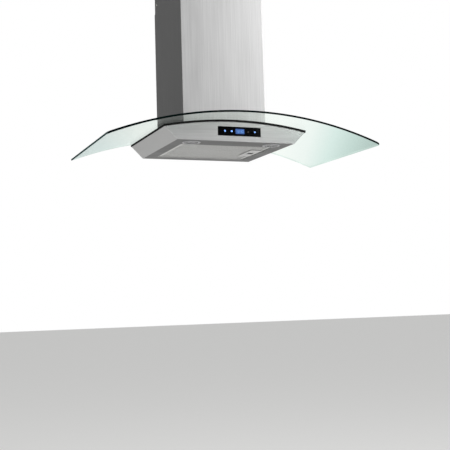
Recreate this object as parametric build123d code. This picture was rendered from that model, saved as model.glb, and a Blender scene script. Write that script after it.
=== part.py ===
"""Wall-hung chimney range hood with an arched glass canopy, one STEP file per piece.

Frame: millimetres, +Z up, +X to the right of someone facing the hood. The wall is the plane
Y = 0 and the hood stands out from it along -Y. The origin is the centre of the hanging
bracket's screw pattern, on the wall.
"""
from build123d import *
import math
import os

os.makedirs("parts", exist_ok=True)

# ---- Driving dimensions -------------------------------------------------------------

# Glass canopy: a sheet bent to one radius across its width
glass_width = 900.0
glass_depth = 500.0
glass_thickness = 6.0
arch_radius = 1235.0            # underside of the glass
crown_z = -200.0                # underside of the glass on the centre line
glass_corner_radius = 14.0
cutout_side_gap = 20.0          # motor box's side to the air opening through the glass
cutout_end_gap = 22.0           # motor box's front or back to the air opening
cutout_corner_radius = 10.0

# Lower body: folded sheet box, sides leaning inwards to the bottom
body_top_width = 477.0
body_bottom_width = 399.5
body_depth = 380.0
body_drop = 68.7                # glass crown to body underside
body_sheet = 1.0
body_edge_radius = 2.0
gasket_thickness = 6.5
gasket_overhang = 2.4
gasket_width = 16.0
gasket_back_inset = 1.0
rim_fold_height = 9.0           # folded edges of the bottom panel

# Grease filter and the opening that it closes
filter_opening_width = 320.0
filter_opening_front_inset = 80.0
filter_opening_back_y = -36.0
filter_side_gap = 3.0
filter_end_gap = 2.0
filter_inset = 2.5              # filter underside above body underside
filter_height = 9.0
filter_bar = 10.0
filter_lip = 1.0
mesh_sheet = 1.0
upstand_height = 15.0
upstand_sheet = 1.0
pivot_pin_radius = 2.0
pivot_pin_length = 12.0
pivot_pin_inset = 6.0           # pin centre from the filter's left edge
running_clearance = 0.06

# Filter latch
latch_plate_width = 42.0
latch_plate_length = 116.0
latch_plate_thickness = 1.5
latch_plate_corner_radius = 6.0
latch_plate_edge_gap = 2.0
latch_slider_length = 26.0
latch_slider_width = 31.4
latch_slider_height = 6.0
latch_clearance = 0.3
latch_floor_gap = 0.7           # slider above its plate
latch_pocket_spare = 1.5        # left past the slider's full travel back
latch_dish_width = 18.8         # thumb dish under the slider
latch_dish_margin = 3.0
latch_dish_corner_radius = 2.0
latch_bore_wall = 1.0
latch_back_travel = 6.0
latch_lock_travel = 3.0
latch_tongue_width = 24.0
latch_tongue_thickness = 2.5
latch_mouth_gap = 0.5           # tongue end to catch at rest
finger_hole_length = 22.0
finger_hole_width = 27.0
finger_hole_corner_radius = 3.0
latch_bore_radius = 2.6
latch_bore_depth = 12.0
spring_radius = 1.8
spring_wire_radius = 0.35
spring_pitch = 1.4
spring_length = 10.0

# Lamps
lamp_x = 138.0
lamp_front_inset = 46.0
lamp_hole_radius = 26.0
lamp_bezel_flange = 4.0         # bezel past its hole
lamp_bezel_thickness = 2.2
lamp_bezel_slope = 1.5
lamp_window_inset = 5.0         # window's edge inside the hole's edge
lamp_seat_height = 0.5
lamp_sleeve_clearance = 0.2
lamp_sleeve_height = 12.0
lamp_sleeve_wall = 1.2
lamp_lens_thickness = 2.0
lamp_reflector_height = 20.0
lamp_reflector_sheet = 0.8
lamp_reflector_rim = 2.0
lamp_module_radius = 9.0
lamp_module_height = 12.0
lamp_module_neck_radius = 5.4
lamp_module_nose = 4.0          # reach of the light source into its reflector

# Control panel
panel_x = 8.5
panel_width = 146.0
panel_height = 29.0
panel_rise = 32.0               # panel centre above body underside
panel_thickness = 3.0
panel_proud = 1.5
panel_clearance = 0.3
panel_corner_radius = 1.5
panel_chamfer = 0.5
housing_wall = 2.0
housing_depth = 19.0
board_thickness = 1.6
board_clearance = 1.0
touch_pad_radius = 5.0
touch_pad_thickness = 3.0
touch_pad_offsets = (-50.0, -27.0, 29.5, 52.0)
display_width = 30.0
display_height = 16.0
display_offset = 1.0

# Lamp driver
driver_length = 90.0
driver_width = 40.0
driver_height = 23.0
driver_x = -20.0
driver_gap = 6.0                # driver to the filter's upstand
driver_corner_radius = 3.0

# Chimney covers
chimney_width = 288.0
chimney_depth = 282.0
chimney_sheet = 0.8
chimney_edge_radius = 1.6
lower_chimney_height = 440.0
upper_chimney_height = 420.0
upper_chimney_rise = 60.0       # upper cover above lower cover at rest
chimney_gap = 0.7
chimney_return = 12.0
upper_back_gap = 1.2

# Brackets on the wall
upper_bracket_height = 30.0
upper_bracket_sheet = 1.5
upper_bracket_tab = 31.5
upper_bracket_drop = 15.0
upper_screw_y = -18.9
upper_hole_spacing = 200.0
upper_hole_radius = 3.0
hanging_width = 180.0
hanging_height = 60.0
hanging_sheet = 2.0
hanging_reach = 14.0
hanging_lip = 12.0
hanging_slot_height = 18.0
hanging_slot_gap = 2.0
hanging_hole_spacing_x = 140.0
hanging_hole_spacing_z = 30.0
hanging_hole_radius = 3.25

# Motor box above the glass
box_side_gap = 18.2             # lower cover's inner face to box side
box_front_gap = 27.2
box_back_y = -10.0
box_sheet = 1.0
box_flange = 16.0
box_back_flange = 8.0
seal_height = 3.0
bolt_side_inset = 8.5           # bolt centre in from the flange's edge
bolt_end_inset = 8.0            # bolt centre inside the cut-out's ends
bolt_radius = 2.5
bolt_head_radius = 4.2
bolt_head_height = 3.0
nut_height = 4.0
bush_radius = 5.0
bush_clearance = 0.1
bush_proud = 0.5
bolt_tip_proud = 1.0

# Blower
volute_step = 10.0
volute_wall = 2.0
volute_front_gap = 1.0
volute_back_gap = 27.0
volute_side_gap = 38.0          # inside of the box to outside of a cheek
volute_floor_gap = 9.0
neck_rise = 140.0               # shaft to the box's top
neck_bend_rise = 60.0
impeller_tip_gap = 7.0
impeller_end_gap = 9.0
impeller_ring_depth = 15.0
impeller_ring_sheet = 2.0
blade_count = 36
blade_thickness = 1.2
blade_chord = 14.0
blade_stagger = 25.0
hub_radius = 11.0
hub_half_length = 8.0
inlet_inset = 12.0              # inlet's edge inside the impeller's edge
shaft_radius = 4.0
shaft_clearance = 0.05
shaft_rear_stub = 1.0
shaft_front_stub = 2.0
motor_gap = 21.0                # motor to the impeller's rings
motor_length = 70.0
motor_wall = 4.0
bearing_radius = 8.0
bearing_length = 6.0
stator_depth = 14.0
rotor_gap = 0.5
rotor_length = 34.0
spider_sheet = 2.0
spider_ring_width = 9.0
spider_ring_lap = 1.0
spider_arm_width = 12.0
spider_arm_angles = (0, 120, 240)
spider_disc_radius = 22.0
spider_bore_gap = 1.0
small_screw_radius = 1.5
small_screw_head_radius = 3.2
small_screw_head_height = 2.0
small_screw_length = 6.0

# Outlet collar and back-draught damper
duct_radius = 75.0
collar_wall = 2.0
collar_height = 55.0
collar_front_gap = 16.0         # motor box's front to the collar's flange
collar_flange = 13.0
collar_flange_thickness = 2.0
collar_screw_angle = 45.0
flap_rise = 14.0
flap_edge_gap = 1.5
flap_thickness = 1.5
flap_barrel_radius = 3.0
flap_pin_radius = 1.5
flap_pin_inset = 0.5
flap_pin_offset = 4.0
flap_barrel_margin = 12.0
flap_stop_depth = 3.5
flap_stop_gap = 0.3

# Terminal box on the front of the motor box
terminal_x = -20.0
terminal_width = 96.0
terminal_height = 80.0
terminal_depth = 21.0
terminal_rise = 125.0
terminal_sheet = 1.0
lid_sheet = 1.0
lid_screw_inset = 3.75
lid_ear_height = 12.8
lug_hole_depth = 8.0
capacitor_radius = 8.5
capacitor_length = 46.0
capacitor_gap = 2.0
block_width = 54.0
block_depth = 12.0
block_height = 14.0
block_top_gap = 17.0
block_pole_count = 5
block_pole_pitch = 10.0
block_hole_radius = 2.5
block_hole_depth = 6.0
gland_radius = 7.5
gland_bore_radius = 4.0
gland_height = 20.0
gland_nut_radius = 9.0
gland_nut_height = 5.0
gland_chamfer = 1.5

# ---- Worked-out places --------------------------------------------------------------

body_bottom_z = crown_z - body_drop
body_front_y = -body_depth
glass_top_z = crown_z + glass_thickness
glass_top_radius = arch_radius + glass_thickness
gasket_bottom_radius = arch_radius - gasket_thickness

opening_x = (-filter_opening_width / 2, filter_opening_width / 2)
opening_y = (body_front_y + filter_opening_front_inset, filter_opening_back_y)
filter_x = (opening_x[0] + filter_side_gap, opening_x[1] - filter_side_gap)
filter_y = (opening_y[0] + filter_end_gap, opening_y[1] - filter_end_gap)
filter_z = (body_bottom_z + filter_inset, body_bottom_z + filter_inset + filter_height)
filter_middle_y = sum(filter_y) / 2
filter_middle_z = sum(filter_z) / 2
pivot_x = filter_x[0] + pivot_pin_inset

latch_plate_x = (filter_x[1] - latch_plate_edge_gap - latch_plate_width,
                 filter_x[1] - latch_plate_edge_gap)
latch_tongue_end = opening_x[1] - latch_mouth_gap
latch_slider_x = (sum(latch_plate_x) / 2 - latch_slider_length / 2,
                  sum(latch_plate_x) / 2 + latch_slider_length / 2)
latch_slider_z = (filter_z[0] + latch_floor_gap, filter_z[0] + latch_floor_gap + latch_slider_height)
latch_middle_z = sum(latch_slider_z) / 2
latch_tongue_z = (latch_middle_z - latch_tongue_thickness / 2, latch_middle_z + latch_tongue_thickness / 2)
pocket_x = (latch_slider_x[0] - latch_back_travel - latch_pocket_spare,
            latch_slider_x[1] + latch_lock_travel + latch_clearance)
pocket_half_width = latch_slider_width / 2 + latch_clearance
pocket_top_z = latch_slider_z[1] + latch_clearance

lamp_y = body_front_y + lamp_front_inset
lamp_bezel_radius = lamp_hole_radius + lamp_bezel_flange
lamp_window_radius = lamp_hole_radius - lamp_window_inset
lamp_sleeve_radius = lamp_hole_radius - lamp_sleeve_clearance
lamp_lens_radius = lamp_sleeve_radius - lamp_sleeve_wall
lamp_lens_top = lamp_seat_height + lamp_lens_thickness
lamp_reflector_top = lamp_lens_top + lamp_reflector_height

panel_z = body_bottom_z + panel_rise
panel_back_y = body_front_y - panel_proud + panel_thickness
board_front_y = panel_back_y + touch_pad_thickness

box_half_width = chimney_width / 2 - chimney_sheet - box_side_gap
box_front_y = -chimney_depth + chimney_sheet + box_front_gap
box_bottom_z = glass_top_z + seal_height
flange_x = (-box_half_width - box_flange, box_half_width + box_flange)
flange_y = (box_front_y - box_flange, box_back_y + box_back_flange)
cutout_x = (cutout_side_gap - box_half_width, box_half_width - cutout_side_gap)
cutout_y = (box_front_y + cutout_end_gap, box_back_y - cutout_end_gap)
bolt_x = flange_x[1] - bolt_side_inset
bolt_places = [(side * bolt_x, y) for side in (-1, 1)
               for y in (cutout_y[1] - bolt_end_inset, cutout_y[0] + bolt_end_inset)]

# The scroll is three quarter arcs, each one step wider, about points half a step off the shaft
cheek_half = box_half_width - box_sheet - volute_side_gap
scroll_depth = (box_back_y - box_front_y - 2 * box_sheet
                - volute_front_gap - volute_back_gap - 2 * volute_wall)
volute_radius = (scroll_depth - 3 * volute_step) / 2
volute_reach = volute_radius + 2 * volute_step + volute_step / 2
volute_drop = volute_radius + volute_step + volute_step / 2
axis_y = box_front_y + box_sheet + volute_front_gap + volute_wall + volute_reach
axis_z = box_bottom_z + volute_floor_gap + volute_wall + volute_drop
box_top_z = axis_z + neck_rise
impeller_radius = volute_radius - volute_step / 2 - impeller_tip_gap
impeller_half = cheek_half - impeller_end_gap
inlet_radius = impeller_radius - inlet_inset
motor_radius = impeller_radius - impeller_ring_depth - motor_gap
motor_rear_x = -cheek_half - volute_wall
stator_outer_radius = motor_radius - motor_wall
stator_inner_radius = stator_outer_radius - stator_depth

collar_bore_radius = duct_radius - collar_wall
collar_y = box_front_y + collar_front_gap + collar_flange + duct_radius
flap_radius = collar_bore_radius - flap_edge_gap
flap_z = box_top_z + flap_rise

terminal_faces_x = (terminal_x - terminal_width / 2, terminal_x + terminal_width / 2)
terminal_y = (box_front_y - terminal_depth, box_front_y)
terminal_z = (box_bottom_z + terminal_rise, box_bottom_z + terminal_rise + terminal_height)

lower_top_z = glass_top_z + lower_chimney_height
upper_top_z = lower_top_z + upper_chimney_rise
upper_half_width = chimney_width / 2 - chimney_sheet - chimney_gap
upper_front_y = -chimney_depth + chimney_sheet + chimney_gap
upper_bracket_z = (upper_top_z - upper_bracket_drop - upper_bracket_height,
                   upper_top_z - upper_bracket_drop)
upper_screw_place = (upper_screw_y, sum(upper_bracket_z) / 2)


# ---- Shared helpers -----------------------------------------------------------------

def save(node, *shapes):
    """Write one node's solids to its STEP file."""
    solids = [solid for shape in shapes for solid in shape.solids()]
    export_step(Compound(solids), f"parts/{node}.step")


def block(x, y, z):
    """Box between a low and a high value on each axis."""
    centre = Pos(sum(x) / 2, sum(y) / 2, sum(z) / 2)
    return centre * Box(x[1] - x[0], y[1] - y[0], z[1] - z[0])


def span(middle, width):
    """Low and high value of a width about its middle."""
    return (middle - width / 2, middle + width / 2)


def rod(radius, start, end):
    """Cylinder from one point to another."""
    direction = Vector(*end) - Vector(*start)
    return Solid.make_cylinder(radius, direction.length, Plane(origin=start, z_dir=direction))


def pipe(outer_radius, inner_radius, start, end):
    """Tube from one point to another."""
    return rod(outer_radius, start, end) - rod(inner_radius, start, end)


def arch(radius):
    """Full cylinder about the canopy's bend axis."""
    bend_z = crown_z - arch_radius
    return rod(radius, (0, -2 * glass_depth, bend_z), (0, glass_depth, bend_z))


def arch_layer(outer_radius, inner_radius, plan):
    """The part of a bent layer that lies inside a plan shape."""
    return (arch(outer_radius) & plan) - arch(inner_radius)


def tall(x, y):
    """Upright prism through every layer of the canopy."""
    return block(x, y, (body_bottom_z - glass_width, box_bottom_z + glass_thickness))


def air_cutout(growth=0.0):
    """Upright prism of the air opening, with round corners."""
    opening = tall((cutout_x[0] - growth, cutout_x[1] + growth),
                   (cutout_y[0] - growth, cutout_y[1] + growth))
    return fillet(opening.edges().filter_by(Axis.Z), cutout_corner_radius + growth)


def bolt_holes(radius):
    """Upright cylinders at the four glass bolts."""
    return [rod(radius, (x, y, body_bottom_z), (x, y, box_bottom_z + glass_thickness))
            for x, y in bolt_places]


def screw(head, tip, radius=small_screw_radius):
    """Pan-head screw: the shank runs from the seat of the head to its tip."""
    outward = (Vector(*head) - Vector(*tip)).normalized() * small_screw_head_height
    top = Vector(*head) + outward
    return rod(radius, head, tip) + rod(small_screw_head_radius, head, tuple(top))


# ---- Canopy -------------------------------------------------------------------------

def glass_canopy():
    plan = tall(span(0, glass_width), (-glass_depth, 0))
    front_corners = plan.edges().filter_by(Axis.Z).sort_by(Axis.Y)[:2]
    plan = fillet(front_corners, glass_corner_radius)
    sheet = arch_layer(glass_top_radius, arch_radius, plan)
    return sheet - air_cutout() - bolt_holes(bush_radius)


def canopy_gasket():
    outer_x = span(0, body_top_width + 2 * gasket_overhang)
    outer_y = (body_front_y - gasket_overhang, -gasket_back_inset)
    ring = tall(outer_x, outer_y) - tall((outer_x[0] + gasket_width, outer_x[1] - gasket_width),
                                         (outer_y[0] + gasket_width, outer_y[1] - gasket_width))
    return arch_layer(arch_radius, gasket_bottom_radius, ring)


def inner_glass_gasket():
    plan = tall(flange_x, (flange_y[0], flange_y[1] - gasket_width))
    layer = arch_layer(arch_radius, gasket_bottom_radius, plan)
    return layer - air_cutout(gasket_overhang) - bolt_holes(bush_radius + bush_clearance)


def motor_box_gasket():
    plan = block(flange_x, flange_y, (body_bottom_z, box_bottom_z))
    ring = plan - air_cutout(gasket_overhang) - bolt_holes(bush_radius + bush_clearance)
    return ring - arch(glass_top_radius)


def layer_height(x, radius):
    """Height of a bent layer's surface at a distance from the centre line."""
    return crown_z - arch_radius + math.sqrt(radius ** 2 - x ** 2)


def glass_bushes():
    bottom = layer_height(bolt_x, arch_radius) - bush_proud
    top = layer_height(bolt_x, glass_top_radius) + bush_proud
    return [pipe(bush_radius, bolt_radius, (x, y, bottom), (x, y, top)) for x, y in bolt_places]


def bolt_seat_z():
    """Top of a nut, just clear below the bent top of the body."""
    plate_radius = gasket_bottom_radius - body_sheet
    return layer_height(bolt_x + bolt_head_radius, plate_radius)


def glass_bolts():
    top = box_bottom_z + box_sheet
    tip = bolt_seat_z() - nut_height - bolt_tip_proud
    return [rod(bolt_radius, (x, y, tip), (x, y, top))
            + rod(bolt_head_radius, (x, y, top), (x, y, top + bolt_head_height))
            for x, y in bolt_places]


def glass_nuts():
    top = bolt_seat_z()
    nuts = []
    for x, y in bolt_places:
        hexagon = Pos(x, y, top - nut_height) * extrude(
            RegularPolygon(bolt_head_radius, 6), nut_height)
        nuts.append(hexagon - rod(bolt_radius, (x, y, top - nut_height), (x, y, top)))
    return nuts


# ---- Lower body ---------------------------------------------------------------------

def body_slope():
    """Run of the leaning side per unit of height."""
    top_z = layer_height(body_top_width / 2, gasket_bottom_radius)
    return (body_top_width - body_bottom_width) / 2 / (top_z - body_bottom_z)


def body_half_width(z):
    """Outer half width of the body at a height."""
    return body_bottom_width / 2 + body_slope() * (z - body_bottom_z)


def body_prism(inset, bottom_z):
    """Body's outer form, or the same form drawn in by a sheet's thickness."""
    lean = inset * math.sqrt(1 + body_slope() ** 2)
    bottom, top = body_half_width(bottom_z) - lean, body_half_width(crown_z) - lean
    corners = [(-bottom, bottom_z), (bottom, bottom_z), (top, crown_z), (-top, crown_z)]
    outline = Plane.XZ * make_face(Polyline(*corners, close=True))
    prism = Pos(0, -inset, 0) * extrude(outline, body_depth - 2 * inset)
    uprights = [edge for edge in prism.edges() if abs(edge.tangent_at(0).Z) > abs(edge.tangent_at(0).X)]
    prism = fillet(uprights, body_edge_radius - min(inset, body_edge_radius / 2))
    return prism & arch(gasket_bottom_radius - inset)


def panel_window(growth):
    """Block through the front where the control panel sits."""
    return block(span(panel_x, panel_width + 2 * growth),
                 (body_front_y - panel_proud, panel_back_y),
                 span(panel_z, panel_height + 2 * growth))


def body_shell():
    hollow = body_prism(body_sheet, body_bottom_z - body_sheet)
    shell = body_prism(0, body_bottom_z) - hollow
    return shell - air_cutout() - bolt_holes(bolt_radius + bush_clearance) \
        - panel_window(panel_clearance)


def bottom_panel():
    half = body_half_width(body_bottom_z) - body_sheet * math.sqrt(1 + body_slope() ** 2)
    rim_y = (body_front_y + body_sheet, -body_sheet)
    rim_z = (body_bottom_z, body_bottom_z + body_sheet)
    rim = block((-half, half), rim_y, rim_z)
    upright_edges = rim.edges().filter_by(Axis.Z)
    rim = fillet(upright_edges, body_edge_radius)
    upstand_z = (body_bottom_z, body_bottom_z + upstand_height)
    upstand_x = (opening_x[0] - upstand_sheet, opening_x[1] + upstand_sheet)
    upstand_y = (opening_y[0] - upstand_sheet, opening_y[1] + upstand_sheet)
    rim += block(upstand_x, upstand_y, upstand_z)
    for y in (rim_y[0], rim_y[1] - body_sheet):
        rim += block((-half + body_edge_radius, half - body_edge_radius), (y, y + body_sheet),
                     (body_bottom_z, body_bottom_z + rim_fold_height))
    rim -= block(opening_x, opening_y, upstand_z)
    rim -= rod(pivot_pin_radius + running_clearance, (pivot_x, rim_y[0] + body_sheet, filter_middle_z),
               (pivot_x, rim_y[1] - body_sheet, filter_middle_z))
    catch = block((opening_x[1], upstand_x[1]),
                  span(filter_middle_y, latch_tongue_width + 4 * latch_clearance),
                  (latch_tongue_z[0] - 2 * latch_clearance, latch_tongue_z[1] + 2 * latch_clearance))
    rim -= catch
    for side in (-1, 1):
        place = (side * lamp_x, lamp_y)
        rim -= rod(lamp_hole_radius, (*place, rim_z[0]), (*place, rim_z[1]))
    return rim


# ---- Grease filter ------------------------------------------------------------------

def latch_pocket():
    """Space that the latch slides in, from the filter's underside up."""
    return block(pocket_x, span(filter_middle_y, 2 * pocket_half_width),
                 (filter_z[0], pocket_top_z))


def latch_slot():
    """Way out through the filter's right bar for the latch's tongue."""
    return block((latch_slider_x[1], filter_x[1]),
                 span(filter_middle_y, latch_tongue_width + 2 * latch_clearance),
                 (latch_tongue_z[0] - latch_clearance, latch_tongue_z[1] + latch_clearance))


def filter_frame():
    frame = block(filter_x, filter_y, filter_z)
    frame -= block((filter_x[0] + filter_bar, filter_x[1] - filter_bar),
                   (filter_y[0] + filter_bar, filter_y[1] - filter_bar), filter_z)
    frame -= mesh_pack(filter_z[0] + filter_lip, filter_z[1] - filter_lip)
    frame -= rod(pivot_pin_radius, (pivot_x, filter_y[0], filter_middle_z),
                 (pivot_x, filter_y[1], filter_middle_z))
    return frame - latch_pocket() - latch_slot()


def mesh_pack(low, high):
    """Layer of the filter pack, set in the frame's groove."""
    reach = filter_bar / 2
    left = pivot_x + pivot_pin_radius + filter_lip
    return block((left, filter_x[1] - reach), (filter_y[0] + reach, filter_y[1] - reach),
                 (low, high))


def filter_layers():
    """Lower mesh, core and upper mesh, from the bottom up."""
    low = filter_z[0] + filter_lip
    high = filter_z[1] - filter_lip
    heights = [(low, low + mesh_sheet), (low + mesh_sheet, high - mesh_sheet),
               (high - mesh_sheet, high)]
    return [mesh_pack(*height) - latch_pocket() - latch_slot() for height in heights]


def filter_pivot_pins():
    pins = []
    for y, inward in ((filter_y[0], 1), (filter_y[1], -1)):
        inner = y + inward * (pivot_pin_length - filter_end_gap - 2 * upstand_sheet)
        outer = y - inward * (filter_end_gap + 2 * upstand_sheet)
        pins.append(rod(pivot_pin_radius, (pivot_x, inner, filter_middle_z),
                        (pivot_x, outer, filter_middle_z)))
    return pins


def latch_plate():
    plate = block(latch_plate_x, span(filter_middle_y, latch_plate_length),
                  (filter_z[0] - latch_plate_thickness, filter_z[0]))
    plate = fillet(plate.edges().filter_by(Axis.Z), latch_plate_corner_radius)
    hole = block(span(sum(latch_plate_x) / 2, finger_hole_length),
                 span(filter_middle_y, finger_hole_width),
                 (filter_z[0] - latch_plate_thickness, filter_z[0]))
    hole = fillet(hole.edges().filter_by(Axis.Z), finger_hole_corner_radius)
    return plate - hole


def latch_slider():
    slider = block(latch_slider_x, span(filter_middle_y, latch_slider_width), latch_slider_z)
    dish_x = (latch_slider_x[0] + latch_bore_depth + latch_bore_wall, latch_slider_x[1] - latch_dish_margin)
    dish = block(dish_x, span(filter_middle_y, latch_dish_width), (latch_slider_z[0], latch_middle_z))
    slider -= fillet(dish.edges().filter_by(Axis.Z), latch_dish_corner_radius)
    slider += block((latch_slider_x[1], latch_tongue_end),
                    span(filter_middle_y, latch_tongue_width), latch_tongue_z)
    return slider - rod(latch_bore_radius, (latch_slider_x[0], filter_middle_y, latch_middle_z),
                        (latch_slider_x[0] + latch_bore_depth, filter_middle_y, latch_middle_z))


def latch_spring():
    path = Helix(pitch=spring_pitch, height=spring_length, radius=spring_radius)
    section = Plane(origin=path @ 0, z_dir=path % 0) * Circle(spring_wire_radius)
    coil = sweep(section, path, is_frenet=True)
    start_x = pocket_x[0] + spring_wire_radius + latch_clearance / 3
    return Pos(start_x, filter_middle_y, latch_middle_z) * Rot(0, 90, 0) * coil


# ---- Lamps --------------------------------------------------------------------------

def turned(outline, side):
    """Solid of revolution about a lamp's upright axis, from (radius, height) points."""
    face = Plane.XZ * make_face(Polyline(*outline, close=True))
    return Pos(side * lamp_x, lamp_y, body_bottom_z) * revolve(face, Axis.Z)


def lamp_bezel(side):
    window = lamp_window_radius
    edge = lamp_bezel_radius
    face = -lamp_bezel_thickness
    outline = [(window, face), (edge - lamp_bezel_slope, face), (edge, face / 2), (edge, 0),
               (lamp_sleeve_radius, 0), (lamp_sleeve_radius, lamp_sleeve_height),
               (lamp_lens_radius, lamp_sleeve_height), (lamp_lens_radius, lamp_seat_height),
               (window, 0)]
    return turned(outline, side)


def lamp_lens(side):
    return turned([(0, lamp_seat_height), (lamp_lens_radius, lamp_seat_height),
                   (lamp_lens_radius, lamp_lens_top), (0, lamp_lens_top)], side)


def lamp_reflector(side):
    wide = lamp_lens_radius
    narrow = lamp_module_radius
    top = lamp_reflector_top
    sheet = lamp_reflector_sheet
    rim_top = lamp_lens_top + lamp_reflector_rim
    return turned([(wide - sheet, lamp_lens_top), (wide, lamp_lens_top), (wide, rim_top),
                   (narrow + sheet, top), (narrow, top), (narrow, top - sheet),
                   (wide - sheet, rim_top)], side)


def lamp_module(side):
    top = lamp_reflector_top
    nose = top - lamp_module_nose
    crest = top + lamp_module_height
    return turned([(0, nose), (lamp_module_neck_radius, nose), (lamp_module_neck_radius, top),
                   (lamp_module_radius, top), (lamp_module_radius, crest), (0, crest)], side)


def lamp_driver():
    back_y = opening_y[0] - upstand_sheet - driver_gap
    case = block(span(driver_x, driver_length), (back_y - driver_width, back_y),
                 (body_bottom_z + body_sheet, body_bottom_z + body_sheet + driver_height))
    return fillet(case.edges().filter_by(Axis.Z), driver_corner_radius)


# ---- Control panel ------------------------------------------------------------------

def control_glass():
    pane = panel_window(0)
    pane = fillet(pane.edges().filter_by(Axis.Y), panel_corner_radius)
    return chamfer(pane.faces().sort_by(Axis.Y)[0].edges(), panel_chamfer)


def control_housing():
    inner_wall_y = body_front_y + body_sheet
    outer = block(span(panel_x, panel_width + 4 * housing_wall),
                  (inner_wall_y, inner_wall_y + housing_depth),
                  span(panel_z, panel_height + 2 * housing_wall))
    tray = block(span(panel_x, panel_width - 4 * housing_wall),
                 (inner_wall_y, inner_wall_y + housing_depth - housing_wall),
                 span(panel_z, panel_height - 3 * housing_wall))
    return outer - panel_window(panel_clearance) - tray


def control_board():
    return block(span(panel_x, panel_width - 4 * housing_wall - board_clearance),
                 (board_front_y, board_front_y + board_thickness),
                 span(panel_z, panel_height - 3 * housing_wall - board_clearance))


def display_module():
    return block(span(panel_x + display_offset, display_width),
                 (panel_back_y, board_front_y), span(panel_z, display_height))


def touch_pads():
    return [rod(touch_pad_radius, (panel_x + offset, panel_back_y, panel_z),
                (panel_x + offset, board_front_y, panel_z)) for offset in touch_pad_offsets]


# ---- Motor box and wall brackets ----------------------------------------------------

def motor_box():
    sides = (-box_half_width, box_half_width)
    box = block(sides, (box_front_y, box_back_y), (box_bottom_z, box_top_z))
    box += block(flange_x, flange_y, (box_bottom_z, box_bottom_z + box_sheet))
    box -= block((sides[0] + box_sheet, sides[1] - box_sheet),
                 (box_front_y + box_sheet, box_back_y - box_sheet),
                 (box_bottom_z, box_top_z - box_sheet))
    box -= rod(collar_bore_radius, (0, collar_y, box_top_z - box_sheet), (0, collar_y, box_top_z))
    shelf_z = hanging_height / 2
    box -= block(span(0, hanging_width + 2 * hanging_slot_gap), (box_back_y - box_sheet, box_back_y),
                 (shelf_z - hanging_slot_height, shelf_z))
    return box - bolt_holes(bolt_radius + bush_clearance)


def hanging_bracket():
    wide = span(0, hanging_width)
    shelf_z = hanging_height / 2
    plate = block(wide, (-hanging_sheet, 0), (-hanging_height / 2, shelf_z))
    plate += block(wide, (-hanging_reach, 0), (shelf_z - hanging_sheet, shelf_z))
    plate += block(wide, (-hanging_reach, hanging_sheet - hanging_reach),
                   (shelf_z - hanging_sheet, shelf_z + hanging_lip))
    for x in span(0, hanging_hole_spacing_x):
        for z in span(0, hanging_hole_spacing_z):
            plate -= rod(hanging_hole_radius, (x, -hanging_sheet, z), (x, 0, z))
    return plate


def upper_chimney_bracket():
    half = upper_half_width - chimney_sheet
    strap = block((-half, half), (-upper_bracket_sheet, 0), upper_bracket_z)
    for side in (-1, 1):
        tab_x = sorted((side * half, side * (half - upper_bracket_sheet)))
        strap += block(tab_x, (-upper_bracket_tab, 0), upper_bracket_z)
        strap -= rod(small_screw_radius, (side * half, *upper_screw_place),
                     (side * (half - upper_bracket_sheet), *upper_screw_place))
    hole_z = sum(upper_bracket_z) / 2
    for x in span(0, upper_hole_spacing):
        strap -= rod(upper_hole_radius, (x, -upper_bracket_sheet, hole_z), (x, 0, hole_z))
    return strap


# ---- Chimney covers -----------------------------------------------------------------

def channel(half_width, front_y, back_y, z):
    """Upright three-sided cover, open at the back."""
    outer = block((-half_width, half_width), (front_y, back_y), z)
    front_edges = outer.edges().filter_by(Axis.Z).sort_by(Axis.Y)[:2]
    outer = fillet(front_edges, chimney_edge_radius)
    inner = block((chimney_sheet - half_width, half_width - chimney_sheet),
                  (front_y + chimney_sheet, back_y), z)
    inner_edges = inner.edges().filter_by(Axis.Z).sort_by(Axis.Y)[:2]
    return outer - fillet(inner_edges, chimney_edge_radius - chimney_sheet)


def lower_chimney():
    half = chimney_width / 2
    z = (body_bottom_z, lower_top_z)
    cover = channel(half, -chimney_depth, 0, z)
    for side in (-1, 1):
        return_x = sorted((side * half, side * (half - chimney_return)))
        cover += block(return_x, (-chimney_sheet, 0), z)
    return cover - arch(glass_top_radius)


def upper_chimney():
    z = (upper_top_z - upper_chimney_height, upper_top_z)
    cover = channel(upper_half_width, upper_front_y, -upper_back_gap, z)
    for side in (-1, 1):
        cover -= rod(small_screw_radius, (0, *upper_screw_place),
                     (side * upper_half_width, *upper_screw_place))
    return cover


def upper_chimney_screws():
    tip = upper_half_width - small_screw_length
    return [screw((side * upper_half_width, *upper_screw_place), (side * tip, *upper_screw_place))
            for side in (-1, 1)]


# ---- Blower -------------------------------------------------------------------------

def volute_face(growth):
    """Scroll outline about the shaft: three quarter arcs, each wider by one step, and a neck."""
    half = volute_step / 2
    first, second, third = [volute_radius + index * volute_step + growth for index in range(3)]
    top = (half, first - half)
    back = (half + first, -half)
    bottom = (-half, -half - second)
    front = (-half - third, half)
    neck_front = collar_y - axis_y - collar_bore_radius - growth
    neck_back = collar_y - axis_y + collar_bore_radius + growth
    roof = neck_rise - box_sheet
    outline = Curve() + [
        RadiusArc(top, back, first), RadiusArc(back, bottom, second),
        RadiusArc(bottom, front, third),
        Polyline(front, (front[0], neck_bend_rise), (neck_front, roof), (neck_back, roof), top),
    ]
    return Plane.YZ * make_face(outline)


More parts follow.
